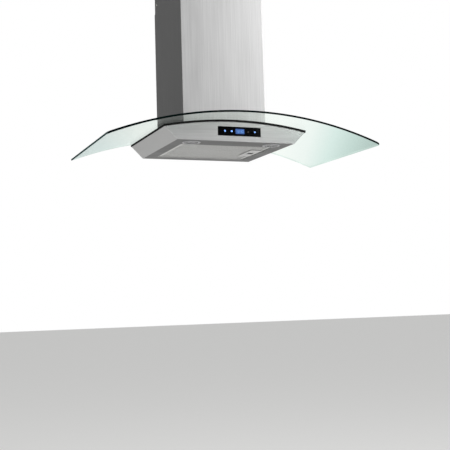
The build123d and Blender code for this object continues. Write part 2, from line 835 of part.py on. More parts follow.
def scroll_housing():
    """Both halves of the plastic scroll, as one form to be split."""
    outer_half = cheek_half + volute_wall
    outer = Pos(-outer_half, 0, 0) * extrude(volute_face(volute_wall), 2 * outer_half)
    inner = Pos(-cheek_half, 0, 0) * extrude(volute_face(0), 2 * cheek_half)
    neck_slab = block(span(0, 2 * cheek_half), span(collar_y - axis_y, 2 * collar_bore_radius),
                      (neck_rise - box_sheet - volute_wall, neck_rise - box_sheet))
    shell = outer - inner - neck_slab - rod(inlet_radius, (-outer_half, 0, 0), (outer_half, 0, 0))
    return Pos(0, axis_y, axis_z) * shell


def scroll_half(side):
    reach = sorted((0, side * 2 * cheek_half))
    return scroll_housing() & block(reach, (box_front_y, box_back_y), (box_bottom_z, box_top_z))


def impeller():
    disc = rod(impeller_radius, (-impeller_ring_sheet / 2, 0, 0), (impeller_ring_sheet / 2, 0, 0))
    wheel = disc + rod(hub_radius, (-hub_half_length, 0, 0), (hub_half_length, 0, 0))
    for side in (-1, 1):
        wheel += pipe(impeller_radius, impeller_radius - impeller_ring_depth,
                      (side * impeller_half, 0, 0),
                      (side * (impeller_half - impeller_ring_sheet), 0, 0))
    middle_radius = impeller_radius - impeller_ring_depth / 2
    blade = Pos(0, 0, middle_radius) * Rot(blade_stagger, 0, 0) \
        * Box(2 * impeller_half, blade_thickness, blade_chord)
    wheel += [Rot(index * 360 / blade_count, 0, 0) * blade for index in range(blade_count)]
    wheel -= rod(shaft_radius, (-hub_half_length, 0, 0), (hub_half_length, 0, 0))
    return Pos(0, axis_y, axis_z) * wheel


def on_shaft(radius, start_x, end_x):
    """Cylinder on the shaft's line."""
    return rod(radius, (start_x, axis_y, axis_z), (end_x, axis_y, axis_z))


def bearing_starts():
    """Low X of the two shaft bearings, one in each end of the motor."""
    return (motor_rear_x, motor_rear_x + motor_length - bearing_length)


def motor_housing():
    front = motor_rear_x + motor_length
    can = on_shaft(motor_radius, motor_rear_x, front)
    can -= on_shaft(stator_outer_radius, motor_rear_x + bearing_length, front - bearing_length)
    return can - on_shaft(bearing_radius, motor_rear_x, front)


def motor_bearings():
    return [on_shaft(bearing_radius, start, start + bearing_length)
            - on_shaft(shaft_radius + shaft_clearance, start, start + bearing_length)
            for start in bearing_starts()]


def rotor_x():
    """Low and high X of the rotor and the stator around it."""
    return span(motor_rear_x + motor_length / 2, rotor_length)


def motor_stator():
    return on_shaft(stator_outer_radius, *rotor_x()) - on_shaft(stator_inner_radius, *rotor_x())


def motor_rotor():
    return on_shaft(stator_inner_radius - rotor_gap, *rotor_x()) - on_shaft(shaft_radius, *rotor_x())


def motor_shaft():
    return on_shaft(shaft_radius, motor_rear_x - shaft_rear_stub, hub_half_length + shaft_front_stub)


def spider_x():
    """Low and high X of the motor bracket's sheet."""
    return (motor_rear_x - spider_sheet, motor_rear_x)


def motor_bracket():
    x = spider_x()
    ring = on_shaft(inlet_radius + spider_ring_width, *x) - on_shaft(inlet_radius - spider_ring_lap, *x)
    arm = block(x, span(0, spider_arm_width), (0, inlet_radius + spider_ring_width / 2))
    spider = ring + on_shaft(spider_disc_radius, *x)
    spider += [Pos(0, axis_y, axis_z) * Rot(angle, 0, 0) * arm for angle in spider_arm_angles]
    for head, tip in spider_screw_places():
        spider -= rod(small_screw_radius, head, tip)
    return spider - on_shaft(shaft_radius + spider_bore_gap, *x)


def spider_screw_places():
    """Head seat and tip of the three screws that hold the spider to the scroll."""
    radius = inlet_radius + spider_ring_width / 2
    places = []
    for angle in spider_arm_angles:
        y = axis_y - radius * math.sin(math.radians(angle))
        z = axis_z + radius * math.cos(math.radians(angle))
        places.append(((spider_x()[0], y, z), (spider_x()[1], y, z)))
    return places


def motor_bracket_screws():
    return [screw(head, tip) for head, tip in spider_screw_places()]


# ---- Outlet collar and damper -------------------------------------------------------

def collar_screw_places():
    radius = duct_radius + collar_flange / 2
    angles = [math.radians(collar_screw_angle + quarter * 90) for quarter in range(4)]
    return [(radius * math.cos(angle), collar_y + radius * math.sin(angle)) for angle in angles]


def outlet_collar():
    base, top = (0, collar_y, box_top_z), (0, collar_y, box_top_z + collar_height)
    flange_top = (0, collar_y, box_top_z + collar_flange_thickness)
    stop_top_z = flap_z - flap_thickness / 2 - flap_stop_gap
    collar = rod(duct_radius, base, top) + rod(duct_radius + collar_flange, base, flange_top)
    collar -= rod(collar_bore_radius, base, top)
    collar += pipe(collar_bore_radius, collar_bore_radius - flap_stop_depth,
                   (0, collar_y, stop_top_z - collar_wall), (0, collar_y, stop_top_z))
    for side in (-1, 1):
        collar -= rod(flap_pin_radius, *flap_pin_ends(side))
    for x, y in collar_screw_places():
        collar -= rod(small_screw_radius, (x, y, box_top_z), (x, y, flange_top[2]))
    return collar


def flap_pin_ends(side):
    """Ends of a flap's pivot pin, just inside the collar's outer face."""
    reach = duct_radius - flap_pin_inset
    x = side * flap_pin_offset
    return ((x, collar_y - reach, flap_z), (x, collar_y + reach, flap_z))


def damper_pins():
    return [rod(flap_pin_radius, *flap_pin_ends(side)) for side in (-1, 1)]


def damper_flap(side):
    reach_x = sorted((side * flap_pin_offset, side * duct_radius))
    disc = rod(flap_radius, (0, collar_y, flap_z - flap_thickness / 2),
               (0, collar_y, flap_z + flap_thickness / 2))
    flap = disc & block(reach_x, span(collar_y, 2 * duct_radius), span(flap_z, 2 * flap_thickness))
    barrel_reach = flap_radius - flap_barrel_margin
    x = side * flap_pin_offset
    ends = ((x, collar_y - barrel_reach, flap_z), (x, collar_y + barrel_reach, flap_z))
    flap += rod(flap_barrel_radius, *ends)
    return flap - rod(flap_pin_radius + shaft_clearance, *flap_pin_ends(side))


def collar_screws():
    top = box_top_z + collar_flange_thickness
    return [screw((x, y, top), (x, y, box_top_z)) for x, y in collar_screw_places()]


# ---- Terminal box -------------------------------------------------------------------

def terminal_box():
    inside_x = (terminal_faces_x[0] + terminal_sheet, terminal_faces_x[1] - terminal_sheet)
    inside_z = (terminal_z[0] + terminal_sheet, terminal_z[1] - terminal_sheet)
    case = block(terminal_faces_x, terminal_y, terminal_z)
    case -= block(inside_x, (terminal_y[0], terminal_y[1] - terminal_sheet), inside_z)
    return case - rod(gland_bore_radius, *gland_ends())


def gland_ends():
    """Bottom and top of the cable gland's bore."""
    x = terminal_faces_x[1] - 2 * gland_nut_radius
    y = sum(terminal_y) / 2
    return ((x, y, terminal_z[1] - terminal_sheet), (x, y, terminal_z[1] + gland_height))


def cable_gland():
    bottom, top = gland_ends()
    seat = (*bottom[:2], terminal_z[1])
    nut_top = (*bottom[:2], terminal_z[1] + gland_nut_height)
    gland = rod(gland_radius, seat, top) + rod(gland_nut_radius, seat, nut_top)
    gland = chamfer(gland.edges().group_by(Axis.Z)[-1], gland_chamfer)
    return gland - rod(gland_bore_radius, bottom, top)


def lid_screw_places():
    """X and Z of the two lid screws, one past each side of the terminal box."""
    return [(x, sum(terminal_z) / 2)
            for x in (terminal_faces_x[0] - lid_screw_inset, terminal_faces_x[1] + lid_screw_inset)]


def terminal_box_lid():
    y = (terminal_y[0] - lid_sheet, terminal_y[0])
    lid = block(terminal_faces_x, y, terminal_z)
    for x, z in lid_screw_places():
        ear_x = sorted((x + math.copysign(small_screw_head_radius, x - terminal_x), terminal_x))
        lid += block(ear_x, y, span(z, lid_ear_height))
        lid -= rod(small_screw_radius, (x, y[0], z), (x, y[1], z))
    return lid


def lid_lugs():
    """Lugs on the motor box's front that the lid is screwed to."""
    lugs = []
    for x, z in lid_screw_places():
        lug = block(span(x, 2 * small_screw_head_radius), terminal_y, span(z, lid_ear_height))
        hole_end = (x, terminal_y[0] + lug_hole_depth, z)
        lugs.append(lug - rod(small_screw_radius, (x, terminal_y[0], z), hole_end))
    return lugs


def terminal_lid_screws():
    seat = terminal_y[0] - lid_sheet
    return [screw((x, seat, z), (x, seat + small_screw_length, z)) for x, z in lid_screw_places()]


def run_capacitor():
    y = terminal_y[1] - terminal_sheet - capacitor_radius
    z = terminal_z[0] + terminal_sheet + capacitor_radius + capacitor_gap
    x = span(terminal_x, capacitor_length)
    return rod(capacitor_radius, (x[0], y, z), (x[1], y, z))


def terminal_block():
    back_y = terminal_y[1] - terminal_sheet
    y = (back_y - block_depth, back_y)
    top_z = terminal_z[1] - terminal_sheet - block_top_gap
    z = (top_z - block_height, top_z)
    body = block(span(terminal_x, block_width), y, z)
    for index in range(block_pole_count):
        x = terminal_x + (index - (block_pole_count - 1) / 2) * block_pole_pitch
        body -= rod(block_hole_radius, (x, y[0], sum(z) / 2), (x, y[0] + block_hole_depth, sum(z) / 2))
    return body


# ---- Write every node ---------------------------------------------------------------

save("glass_canopy", glass_canopy())
save("canopy_gasket", canopy_gasket())
save("inner_glass_gasket", inner_glass_gasket())
save("motor_box_gasket", motor_box_gasket())
save("glass_bushes", *glass_bushes())
save("glass_bolts", *glass_bolts())
save("glass_nuts", *glass_nuts())

save("body_shell", body_shell())
save("bottom_panel", bottom_panel())
save("control_glass", control_glass())
save("control_housing", control_housing())
save("control_board", control_board())
save("display_module", display_module())
save("touch_pads", *touch_pads())
save("lamp_driver", lamp_driver())

for label, lamp_side in (("left", -1), ("right", 1)):
    save(f"{label}_lamp_bezel", lamp_bezel(lamp_side))
    save(f"{label}_lamp_lens", lamp_lens(lamp_side))
    save(f"{label}_lamp_reflector", lamp_reflector(lamp_side))
    save(f"{label}_lamp_module", lamp_module(lamp_side))
    save(f"{label}_damper_flap", damper_flap(lamp_side))
    save(f"{label}_scroll_half", scroll_half(lamp_side))

save("filter_frame", filter_frame())
for layer_name, layer in zip(("filter_lower_mesh", "filter_core", "filter_upper_mesh"), filter_layers()):
    save(layer_name, layer)
save("filter_pivot_pins", *filter_pivot_pins())
save("latch_plate", latch_plate())
save("latch_slider", latch_slider())
save("latch_spring", latch_spring())

save("motor_box", motor_box())
save("hanging_bracket", hanging_bracket())
save("impeller", impeller())
save("motor_shaft", motor_shaft())
save("motor_rotor", motor_rotor())
save("motor_housing", motor_housing())
save("motor_stator", motor_stator())
save("motor_bearings", *motor_bearings())
save("motor_bracket", motor_bracket())
save("motor_bracket_screws", *motor_bracket_screws())
save("outlet_collar", outlet_collar())
save("collar_screws", *collar_screws())
save("damper_pins", *damper_pins())

save("terminal_box", terminal_box())
save("terminal_box_lid", terminal_box_lid())
save("terminal_lid_lugs", *lid_lugs())
save("terminal_lid_screws", *terminal_lid_screws())
save("terminal_block", terminal_block())
save("run_capacitor", run_capacitor())
save("cable_gland", cable_gland())

save("lower_chimney", lower_chimney())
save("upper_chimney", upper_chimney())
save("upper_chimney_bracket", upper_chimney_bracket())
save("upper_chimney_screws", *upper_chimney_screws())
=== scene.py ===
"""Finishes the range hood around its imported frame: glass, steel, filter, lamps, panel and stage.

Everything is in metres, in the frame's own axes: +X right, +Z up, the wall at Y = 0 and the
hood standing out along -Y. A name ending in _MM is in millimetres.
"""

import math

import bmesh
import bpy
import numpy as np
from mathutils import Matrix, Vector


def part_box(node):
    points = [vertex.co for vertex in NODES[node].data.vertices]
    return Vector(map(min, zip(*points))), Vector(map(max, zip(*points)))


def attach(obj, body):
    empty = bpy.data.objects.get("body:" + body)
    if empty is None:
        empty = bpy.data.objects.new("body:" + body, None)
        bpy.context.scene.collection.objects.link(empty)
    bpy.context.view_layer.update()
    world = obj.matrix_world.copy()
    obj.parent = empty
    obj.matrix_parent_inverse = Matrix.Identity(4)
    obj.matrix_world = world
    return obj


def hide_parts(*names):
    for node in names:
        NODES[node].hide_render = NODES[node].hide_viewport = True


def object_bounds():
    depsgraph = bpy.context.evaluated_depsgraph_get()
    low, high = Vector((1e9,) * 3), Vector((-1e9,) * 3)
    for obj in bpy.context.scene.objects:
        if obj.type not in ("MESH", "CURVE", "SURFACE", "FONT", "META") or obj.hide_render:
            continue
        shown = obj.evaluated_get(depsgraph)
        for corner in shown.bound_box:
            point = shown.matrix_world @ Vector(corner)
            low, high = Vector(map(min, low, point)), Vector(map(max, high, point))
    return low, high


bl_info = {
    "name": "Glass canopy hood finishes",
    "version": (1, 0, 0),
    "blender": (4, 5, 0),
    "location": "View3D > Sidebar > Hood",
    "description": "Builds the finished surfaces of a wall-hung glass canopy hood",
    "category": "Object",
}

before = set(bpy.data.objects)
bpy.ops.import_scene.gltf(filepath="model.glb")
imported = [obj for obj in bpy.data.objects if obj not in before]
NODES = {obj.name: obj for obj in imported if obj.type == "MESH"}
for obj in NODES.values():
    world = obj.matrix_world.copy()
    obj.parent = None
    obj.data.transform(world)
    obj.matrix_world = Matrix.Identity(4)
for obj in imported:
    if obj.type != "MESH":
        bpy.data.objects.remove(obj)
CAD_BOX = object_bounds()
MM = 0.001

# Mesh clean-up: vertices closer than the first are merged, edges shorter than the second removed
MERGE_DISTANCE = 1e-6
SLIVER_LENGTH = 1e-7
SMALLEST_CORNER = 0.01 * MM


def node_box(name):
    """Lowest and highest corner of a CAD node, as arrays."""
    return np.array(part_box(name))


# Bend of the canopy, as the frame has it
GLASS_LOW, GLASS_HIGH = node_box("glass_canopy")
GLASS_THICKNESS = 6 * MM
CROWN_Z = GLASS_HIGH[2] - GLASS_THICKNESS
HALF_SPAN = (GLASS_HIGH[0] - GLASS_LOW[0]) / 2

# Openings through the canopy in plan, in millimetres: centre, half width, half depth, corner radius
AIR_CUTOUT_MM = (0.0, -132.0, 105.0, 100.0, 10.0)
BOLT_HOLES_MM = [(x, y, 5.0, 5.0, 5.0) for x in (-132.5, 132.5) for y in (-40.0, -224.0)]
CUTOUT_MARGIN = 8 * MM
BOLT_MARGIN = 7 * MM
HOLE_ARRIS = 0.6 * MM

# Fineness of the canopy's grid
COLUMN_STEP = 9 * MM
ROW_STEP = 12 * MM
CORNER_STEPS = 9
EDGE_STEPS = 9


def arch_radius():
    """Radius of the underside, from the half span and how far the edge drops below the crown."""
    drop = CROWN_Z - GLASS_LOW[2]
    return (HALF_SPAN ** 2 + drop ** 2) / (2 * drop)


ARCH_RADIUS = arch_radius()


# ---- Settings -----------------------------------------------------------------------

class GlassSettings(bpy.types.PropertyGroup):
    """Colours of the canopy's edges and the shape of its front corners."""
    edge: bpy.props.FloatVectorProperty(
        name="Front edge", description="Colour of the polished front edge, where the path is long",
        subtype="COLOR", size=3, default=(0.001, 0.005, 0.005), min=0, max=1)
    end_edge: bpy.props.FloatVectorProperty(
        name="Left edge", description="Colour of the left end edge, which catches more light",
        subtype="COLOR", size=3, default=(0.03, 0.06, 0.06), min=0, max=1)
    clear_edge: bpy.props.FloatVectorProperty(
        name="Clear edges", description="Colour of light through the right end edge and the back edge",
        subtype="COLOR", size=3, default=(0.62, 0.76, 0.70), min=0, max=1)
    corner_radius: bpy.props.FloatProperty(
        name="Front corner radius", description="Rounding of the two front corners in plan",
        unit="LENGTH", default=14 * MM, min=1 * MM, max=80 * MM)


class SteelSettings(bpy.types.PropertyGroup):
    """Colour and grain of the brushed steel."""
    colour: bpy.props.FloatVectorProperty(
        name="Steel", description="Colour of the brushed stainless steel",
        subtype="COLOR", size=3, default=(0.58, 0.58, 0.58), min=0, max=1)
    grain_width: bpy.props.FloatProperty(
        name="Grain width", description="Width of one brush line",
        unit="LENGTH", default=0.9 * MM, min=0.1 * MM, max=5 * MM)
    roughness: bpy.props.FloatProperty(
        name="Roughness", description="Softness of reflections in the steel",
        subtype="FACTOR", default=0.34, min=0.05, max=1)


class FilterSettings(bpy.types.PropertyGroup):
    """Pattern of the filter's expanded mesh."""
    diamond_length: bpy.props.FloatProperty(
        name="Diamond length", description="Length of one opening of the expanded mesh",
        unit="LENGTH", default=9 * MM, min=3 * MM, max=30 * MM)
    diamond_height: bpy.props.FloatProperty(
        name="Diamond height", description="Height of one opening of the expanded mesh",
        unit="LENGTH", default=4.6 * MM, min=2 * MM, max=20 * MM)
    strand_width: bpy.props.FloatProperty(
        name="Strand width", description="Width of a strand of the expanded mesh",
        unit="LENGTH", default=1.2 * MM, min=0.4 * MM, max=4 * MM)


class PanelSettings(bpy.types.PropertyGroup):
    """Colours of the control panel's lights."""
    glow: bpy.props.FloatVectorProperty(
        name="Glow", description="Colour of the lit symbols",
        subtype="COLOR", size=3, default=(0.24, 0.46, 1.0), min=0, max=1)
    backlight: bpy.props.FloatVectorProperty(
        name="Backlight", description="Colour of the lit display behind its digits",
        subtype="COLOR", size=3, default=(0.03, 0.10, 0.36), min=0, max=1)


class StageSettings(bpy.types.PropertyGroup):
    """Height and colour of the floor under the hood."""
    floor_drop: bpy.props.FloatProperty(
        name="Floor drop", description="Height of the hood's lowest point above the floor",
        unit="LENGTH", default=1.45, min=0.1, max=3)
    floor_colour: bpy.props.FloatVectorProperty(
        name="Floor", description="Colour of the plain floor",
        subtype="COLOR", size=3, default=(0.80, 0.80, 0.79), min=0, max=1)


SETTINGS = {
    "hood_glass": GlassSettings,
    "hood_steel": SteelSettings,
    "hood_filter": FilterSettings,
    "hood_panel": PanelSettings,
    "hood_stage": StageSettings,
}


# ---- Mesh helpers -------------------------------------------------------------------

def sheet_faces(rows, columns, wrap=False):
    """Quads of a grid of rows by columns, the last column joined to the first if wrap."""
    reach = columns if wrap else columns - 1
    row, column = np.meshgrid(np.arange(rows - 1), np.arange(reach), indexing="ij")
    after = (column + 1) % columns
    quads = np.stack([row * columns + column, row * columns + after,
                      (row + 1) * columns + after, (row + 1) * columns + column], axis=-1)
    return quads.reshape(-1, 4)


def join_parts(parts):
    """One vertex array and one face list from several (vertices, faces) pairs."""
    vertices, faces, start = [], [], 0
    for points, polygons in parts:
        vertices.append(points.reshape(-1, 3))
        faces += [[index + start for index in polygon] for polygon in polygons]
        start += len(vertices[-1])
    return np.concatenate(vertices), faces


def make_piece(name, parts, material, body="root", replaces=(), smooth_angle=35.0):
    """A finished piece in place: doubles merged, faces outward, riding on its body."""
    vertices, faces = join_parts(parts)
    mesh = bpy.data.meshes.new(name)
    mesh.from_pydata(vertices.tolist(), [], faces)
    work = bmesh.new()
    work.from_mesh(mesh)
    bmesh.ops.remove_doubles(work, verts=work.verts, dist=MERGE_DISTANCE)
    bmesh.ops.dissolve_degenerate(work, edges=work.edges, dist=SLIVER_LENGTH)
    bmesh.ops.recalc_face_normals(work, faces=work.faces)
    work.to_mesh(mesh)
    work.free()
    mesh.materials.append(material)
    mesh.shade_smooth()
    mesh.set_sharp_from_angle(angle=math.radians(smooth_angle))
    thing = bpy.data.objects.new(name, mesh)
    bpy.context.scene.collection.objects.link(thing)
    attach(thing, body)
    if replaces:
        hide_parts(*replaces)
    return thing


def rounded_outline(width, height, radius, corner_steps=6):
    """Rectangle with quarter-circle corners about the origin, anticlockwise, as an array."""
    radius = min(radius, width / 2, height / 2)
    turn = np.linspace(0, math.pi / 2, corner_steps)
    corners = [(1, 1, 0), (-1, 1, 1), (-1, -1, 2), (1, -1, 3)]
    stretches = [np.stack([side_x * (width / 2 - radius) + radius * np.cos(turn + quarter * math.pi / 2),
                           side_y * (height / 2 - radius) + radius * np.sin(turn + quarter * math.pi / 2)],
                          axis=-1) for side_x, side_y, quarter in corners]
    return np.concatenate(stretches)


def plate(width, height, radius, rings, place, across, up, out):
    """Plate lofted through rounded outlines: each ring is (inset, distance out), capped at both ends."""
    layers = []
    for inset, level in rings:
        corner = max(radius - inset, SMALLEST_CORNER)
        outline = rounded_outline(width - 2 * inset, height - 2 * inset, corner)
        layers.append(np.asarray(place) + outline[:, :1] * np.asarray(across)
                      + outline[:, 1:] * np.asarray(up) + level * np.asarray(out))
    grid = np.stack(layers)
    count = grid.shape[1]
    faces = sheet_faces(len(rings), count, wrap=True).tolist()
    faces.append(list(range(count)))
    faces.append(list(range((len(rings) - 1) * count, len(rings) * count)))
    return grid, faces


def turned(profile, centre, axis=(0, 0, 1), steps=72):
    """Profile of (radius, distance along axis) points carried round the axis through centre."""
    direction = Vector(axis).normalized()
    turn = direction.to_track_quat("Z", "Y").to_matrix()
    angle = np.linspace(0, 2 * math.pi, steps, endpoint=False)
    radius, level = np.asarray(profile, dtype=float).T
    grid = np.stack([radius[:, None] * np.cos(angle), radius[:, None] * np.sin(angle),
                     np.repeat(level[:, None], steps, axis=1)], axis=-1)
    grid = grid @ np.array(turn).T + np.asarray(centre)
    return grid, sheet_faces(len(profile), steps, wrap=True).tolist()


def bars(starts, ends, width, thickness, out):
    """Flat bars between paired points, all as one array: eight corners and six faces each."""
    along = ends - starts
    along = along / np.linalg.norm(along, axis=1, keepdims=True)
    out = np.asarray(out, dtype=float)
    side = np.cross(along, out) * width / 2
    lift = out * thickness / 2
    corners = np.stack([point + sign_side * side + sign_out * lift for point in (starts, ends)
                        for sign_side, sign_out in ((-1, -1), (1, -1), (1, 1), (-1, 1))], axis=1)
    box_faces = np.array([[0, 1, 2, 3], [7, 6, 5, 4], [0, 4, 5, 1],
                          [1, 5, 6, 2], [2, 6, 7, 3], [3, 7, 4, 0]])
    offsets = np.arange(len(starts))[:, None, None] * corners.shape[1]
    return corners, (box_faces[None] + offsets).reshape(-1, 4).tolist()


# ---- Material helpers ---------------------------------------------------------------

def base_material(name, colour, roughness, metallic=0.0, **sockets):
    """Principled material; extra sockets are given by name with underscores for spaces."""
    material = bpy.data.materials.new(name)
    material.use_nodes = True
    shader = material.node_tree.nodes["Principled BSDF"]
    shader.inputs["Base Color"].default_value = (*colour, 1.0)
    shader.inputs["Roughness"].default_value = roughness
    shader.inputs["Metallic"].default_value = metallic
    for key, value in sockets.items():
        shader.inputs[key.replace("_", " ")].default_value = value
    material.diffuse_color = (*colour, 1.0)
    return material


def pattern(material, kind, stretch, output=None, **values):
    """Noise or cell texture in object coordinates, in features per metre on each axis."""
    tree = material.node_tree
    place = tree.nodes.new("ShaderNodeTexCoord")
    mapping = tree.nodes.new("ShaderNodeMapping")
    mapping.inputs["Scale"].default_value = stretch
    texture = tree.nodes.new(kind)
    texture.inputs["Scale"].default_value = 1.0
    for key, value in values.items():
        texture.inputs[key].default_value = value
    tree.links.new(place.outputs["Object"], mapping.inputs["Vector"])
    tree.links.new(mapping.outputs["Vector"], texture.inputs["Vector"])
    return texture.outputs[output or ("Fac" if "Fac" in texture.outputs else "Distance")]


def map_range(tree, source, from_low, from_high, to_low, to_high):
    """Node that spreads a value from one range onto another."""
    spread = tree.nodes.new("ShaderNodeMapRange")
    limits = {"From Min": from_low, "From Max": from_high, "To Min": to_low, "To Max": to_high}
    for key, value in limits.items():
        spread.inputs[key].default_value = value
    tree.links.new(source, spread.inputs["Value"])
    return spread


def colour_ramp(tree, source, stops):
    """Colour that follows a value through (position, colour) stops."""
    ramp = tree.nodes.new("ShaderNodeValToRGB")
    elements = ramp.color_ramp.elements
    while len(elements) < len(stops):
        elements.new(0.5)
    for element, (position, colour) in zip(elements, stops):
        element.position = position
        element.color = (*colour, 1.0)
    tree.links.new(source, ramp.inputs["Fac"])
    return ramp.outputs["Color"]


def distance_along(tree, coordinates, direction):
    """How far each point, in the given coordinates, lies along a direction."""
    place = tree.nodes.new("ShaderNodeTexCoord")
    along = tree.nodes.new("ShaderNodeVectorMath")
    along.operation = "DOT_PRODUCT"
    along.inputs[1].default_value = direction
    tree.links.new(place.outputs[coordinates], along.inputs[0])
    return along.outputs["Value"]


def drive(material, source, socket, low, high, from_low=0.3, from_high=0.7):
    """Sends a pattern to a shader socket, spread between two values."""
    tree = material.node_tree
    spread = map_range(tree, source, from_low, from_high, low, high)
    tree.links.new(spread.outputs["Result"], tree.nodes["Principled BSDF"].inputs[socket])


def shade(material, source, dark, light, from_low=0.3, from_high=0.7):
    """Sends a pattern to the base colour, between two colours."""
    tree = material.node_tree
    tone = colour_ramp(tree, source, [(from_low, dark), (from_high, light)])
    tree.links.new(tone, tree.nodes["Principled BSDF"].inputs["Base Color"])


def raise_surface(material, source, distance, strength=1.0):
    """Bump from a pattern, with its height in metres."""
    tree = material.node_tree
    lift = tree.nodes.new("ShaderNodeBump")
    lift.inputs["Distance"].default_value = distance
    lift.inputs["Strength"].default_value = strength
    tree.links.new(source, lift.inputs["Height"])
    tree.links.new(lift.outputs["Normal"], tree.nodes["Principled BSDF"].inputs["Normal"])


def scaled(colour, factor):
    """A colour made lighter or darker."""
    return tuple(min(1.0, channel * factor) for channel in colour)


# Brushed steel: how often its lines and smears change along the brushing and across it
LINES_PER_METRE_ALONG = 5.0
SMEARS_PER_METRE = 14.0
SMEARS_PER_METRE_ALONG = 4.0


def brushed_steel(name, colour, roughness, grain_width, along):
    """Steel brushed along one axis: long fine lines in gloss and height, and faint wiped smears."""
    lines = [1 / grain_width] * 3
    lines["XYZ".index(along)] = LINES_PER_METRE_ALONG
    smears = [SMEARS_PER_METRE] * 3
    smears["XYZ".index(along)] = SMEARS_PER_METRE_ALONG
    material = base_material(name, colour, roughness, metallic=1.0)
    grain = pattern(material, "ShaderNodeTexNoise", lines, Detail=3.0, Roughness=0.6)
    wiped = pattern(material, "ShaderNodeTexNoise", smears, Detail=2.0)
    drive(material, wiped, "Roughness", roughness - 0.05, roughness + 0.06)
    shade(material, grain, scaled(colour, 0.86), scaled(colour, 1.10))
    raise_surface(material, grain, 0.00004, 0.6)
    return material


def plain_metal(name, colour, roughness, spots=220.0):
    """Rolled or plated metal with a faint mottle in its gloss and tone."""
    material = base_material(name, colour, roughness, metallic=1.0)
    mottle = pattern(material, "ShaderNodeTexNoise", (spots,) * 3, Detail=3.0)
    drive(material, mottle, "Roughness", roughness - 0.06, roughness + 0.08)
    shade(material, mottle, scaled(colour, 0.88), scaled(colour, 1.08))
    return material


def moulded_plastic(name, colour, roughness, grain=1400.0, **sockets):
    """Moulded plastic or rubber with a fine leathery grain."""
    material = base_material(name, colour, roughness, **sockets)
    fine = pattern(material, "ShaderNodeTexNoise", (grain,) * 3, Detail=2.0)
    dusty = pattern(material, "ShaderNodeTexNoise", (25.0,) * 3, Detail=3.0)
    drive(material, dusty, "Roughness", roughness - 0.05, roughness + 0.08)
    shade(material, dusty, scaled(colour, 0.85), scaled(colour, 1.15))
    raise_surface(material, fine, 0.00006, 0.5)
    return material


def galvanised(name, colour):
    """Zinc-coated sheet with its spangle of crystals."""
    material = base_material(name, colour, 0.45, metallic=1.0)
    spangle = pattern(material, "ShaderNodeTexVoronoi", (75.0,) * 3, "Color")
    drive(material, spangle, "Roughness", 0.36, 0.54, 0.1, 0.9)
    shade(material, spangle, scaled(colour, 0.86), scaled(colour, 1.06), 0.1, 0.9)
    return material


def lit_plastic(name, colour, strength):
    """Lit symbol or display: its light is faintly uneven, as behind a diffuser."""
    material = base_material(name, colour, 0.4, Emission_Strength=strength)
    cloud = pattern(material, "ShaderNodeTexNoise", (160.0,) * 3, Detail=1.0)
    tree = material.node_tree
    shader = tree.nodes["Principled BSDF"]
    tone = colour_ramp(tree, cloud, [(0.0, scaled(colour, 0.8)), (1.0, scaled(colour, 1.15))])
    tree.links.new(tone, shader.inputs["Emission Color"])
    tree.links.new(tone, shader.inputs["Base Color"])
    return material


def dress(material, *names):
    """Gives CAD nodes a material through their slots."""
    for name in names:
        thing = NODES[name]
        if not thing.material_slots:
            thing.data.materials.append(material)
        for slot in thing.material_slots:
            slot.material = material


# ---- Canopy -------------------------------------------------------------------------

def bent_height(x, level):
    """Height of the bent sheet at x, for a level from its underside towards its top."""
    return CROWN_Z - ARCH_RADIUS + np.sqrt((ARCH_RADIUS + level) ** 2 - x ** 2)


def steps_between(marks, largest):
    """Positions that stop at every mark, with even steps no longer than the largest between them."""
    marks = np.sort(marks)
    runs = [np.linspace(first, last, math.ceil((last - first) / largest) + 1)[:-1]
            for first, last in zip(marks[:-1], marks[1:]) if last - first > MERGE_DISTANCE]
    return np.concatenate(runs + [marks[-1:]])


def patch_boxes():
    """Plan rectangles round the openings that the grid leaves free, each with its opening in metres."""
    openings = [(np.array(AIR_CUTOUT_MM) * MM, CUTOUT_MARGIN)]
    openings += [(np.array(hole) * MM, BOLT_MARGIN) for hole in BOLT_HOLES_MM]
    return [((x - across - margin, x + across + margin, y - along - margin, y + along + margin),
             (x, y, across, along, radius)) for (x, y, across, along, radius), margin in openings]


def canopy_columns(corner_radius, inset):
    """X of the grid's columns: even between the openings, closer through the round front corners."""
    half = HALF_SPAN - inset
    flat = half - (corner_radius - inset)
    turn = np.linspace(0, math.pi / 2, CORNER_STEPS)[1:]
    corner = flat + (corner_radius - inset) * np.sin(turn)
    marks = [-flat, flat]
    for box, opening in patch_boxes():
        marks += [box[0], box[1], opening[0]]
    middle = steps_between(marks, COLUMN_STEP)
    return np.concatenate([-corner[::-1], middle, corner])


def canopy_front(x, corner_radius, inset):
    """Y of the front edge at x: straight, then a quarter circle at each corner."""
    radius = corner_radius - inset
    past = np.clip(np.abs(x) - (HALF_SPAN - inset - radius), 0, radius)
    return GLASS_LOW[1] + inset + radius - np.sqrt(radius ** 2 - past ** 2)


def toward_opening(points, opening, grow):
    """Each plan point moved to the outline of an opening grown all round: first to the nearest point of
    the box between its corner centres, then outwards by the corner radius."""
    x, y, across, along, radius = opening
    centre = np.array([x, y])
    reach = np.array([across - radius, along - radius])
    core = centre + np.clip(points - centre, -reach, reach)
    away = points - core
    return core + away / np.linalg.norm(away, axis=1, keepdims=True) * (radius + grow)


def lifted(plan, level):
    """Plan points put on the bent sheet at a level from its underside."""
    level = np.broadcast_to(level, plan.shape[:-1])
    return np.concatenate([plan, bent_height(plan[..., 0], level)[..., None]], axis=-1)


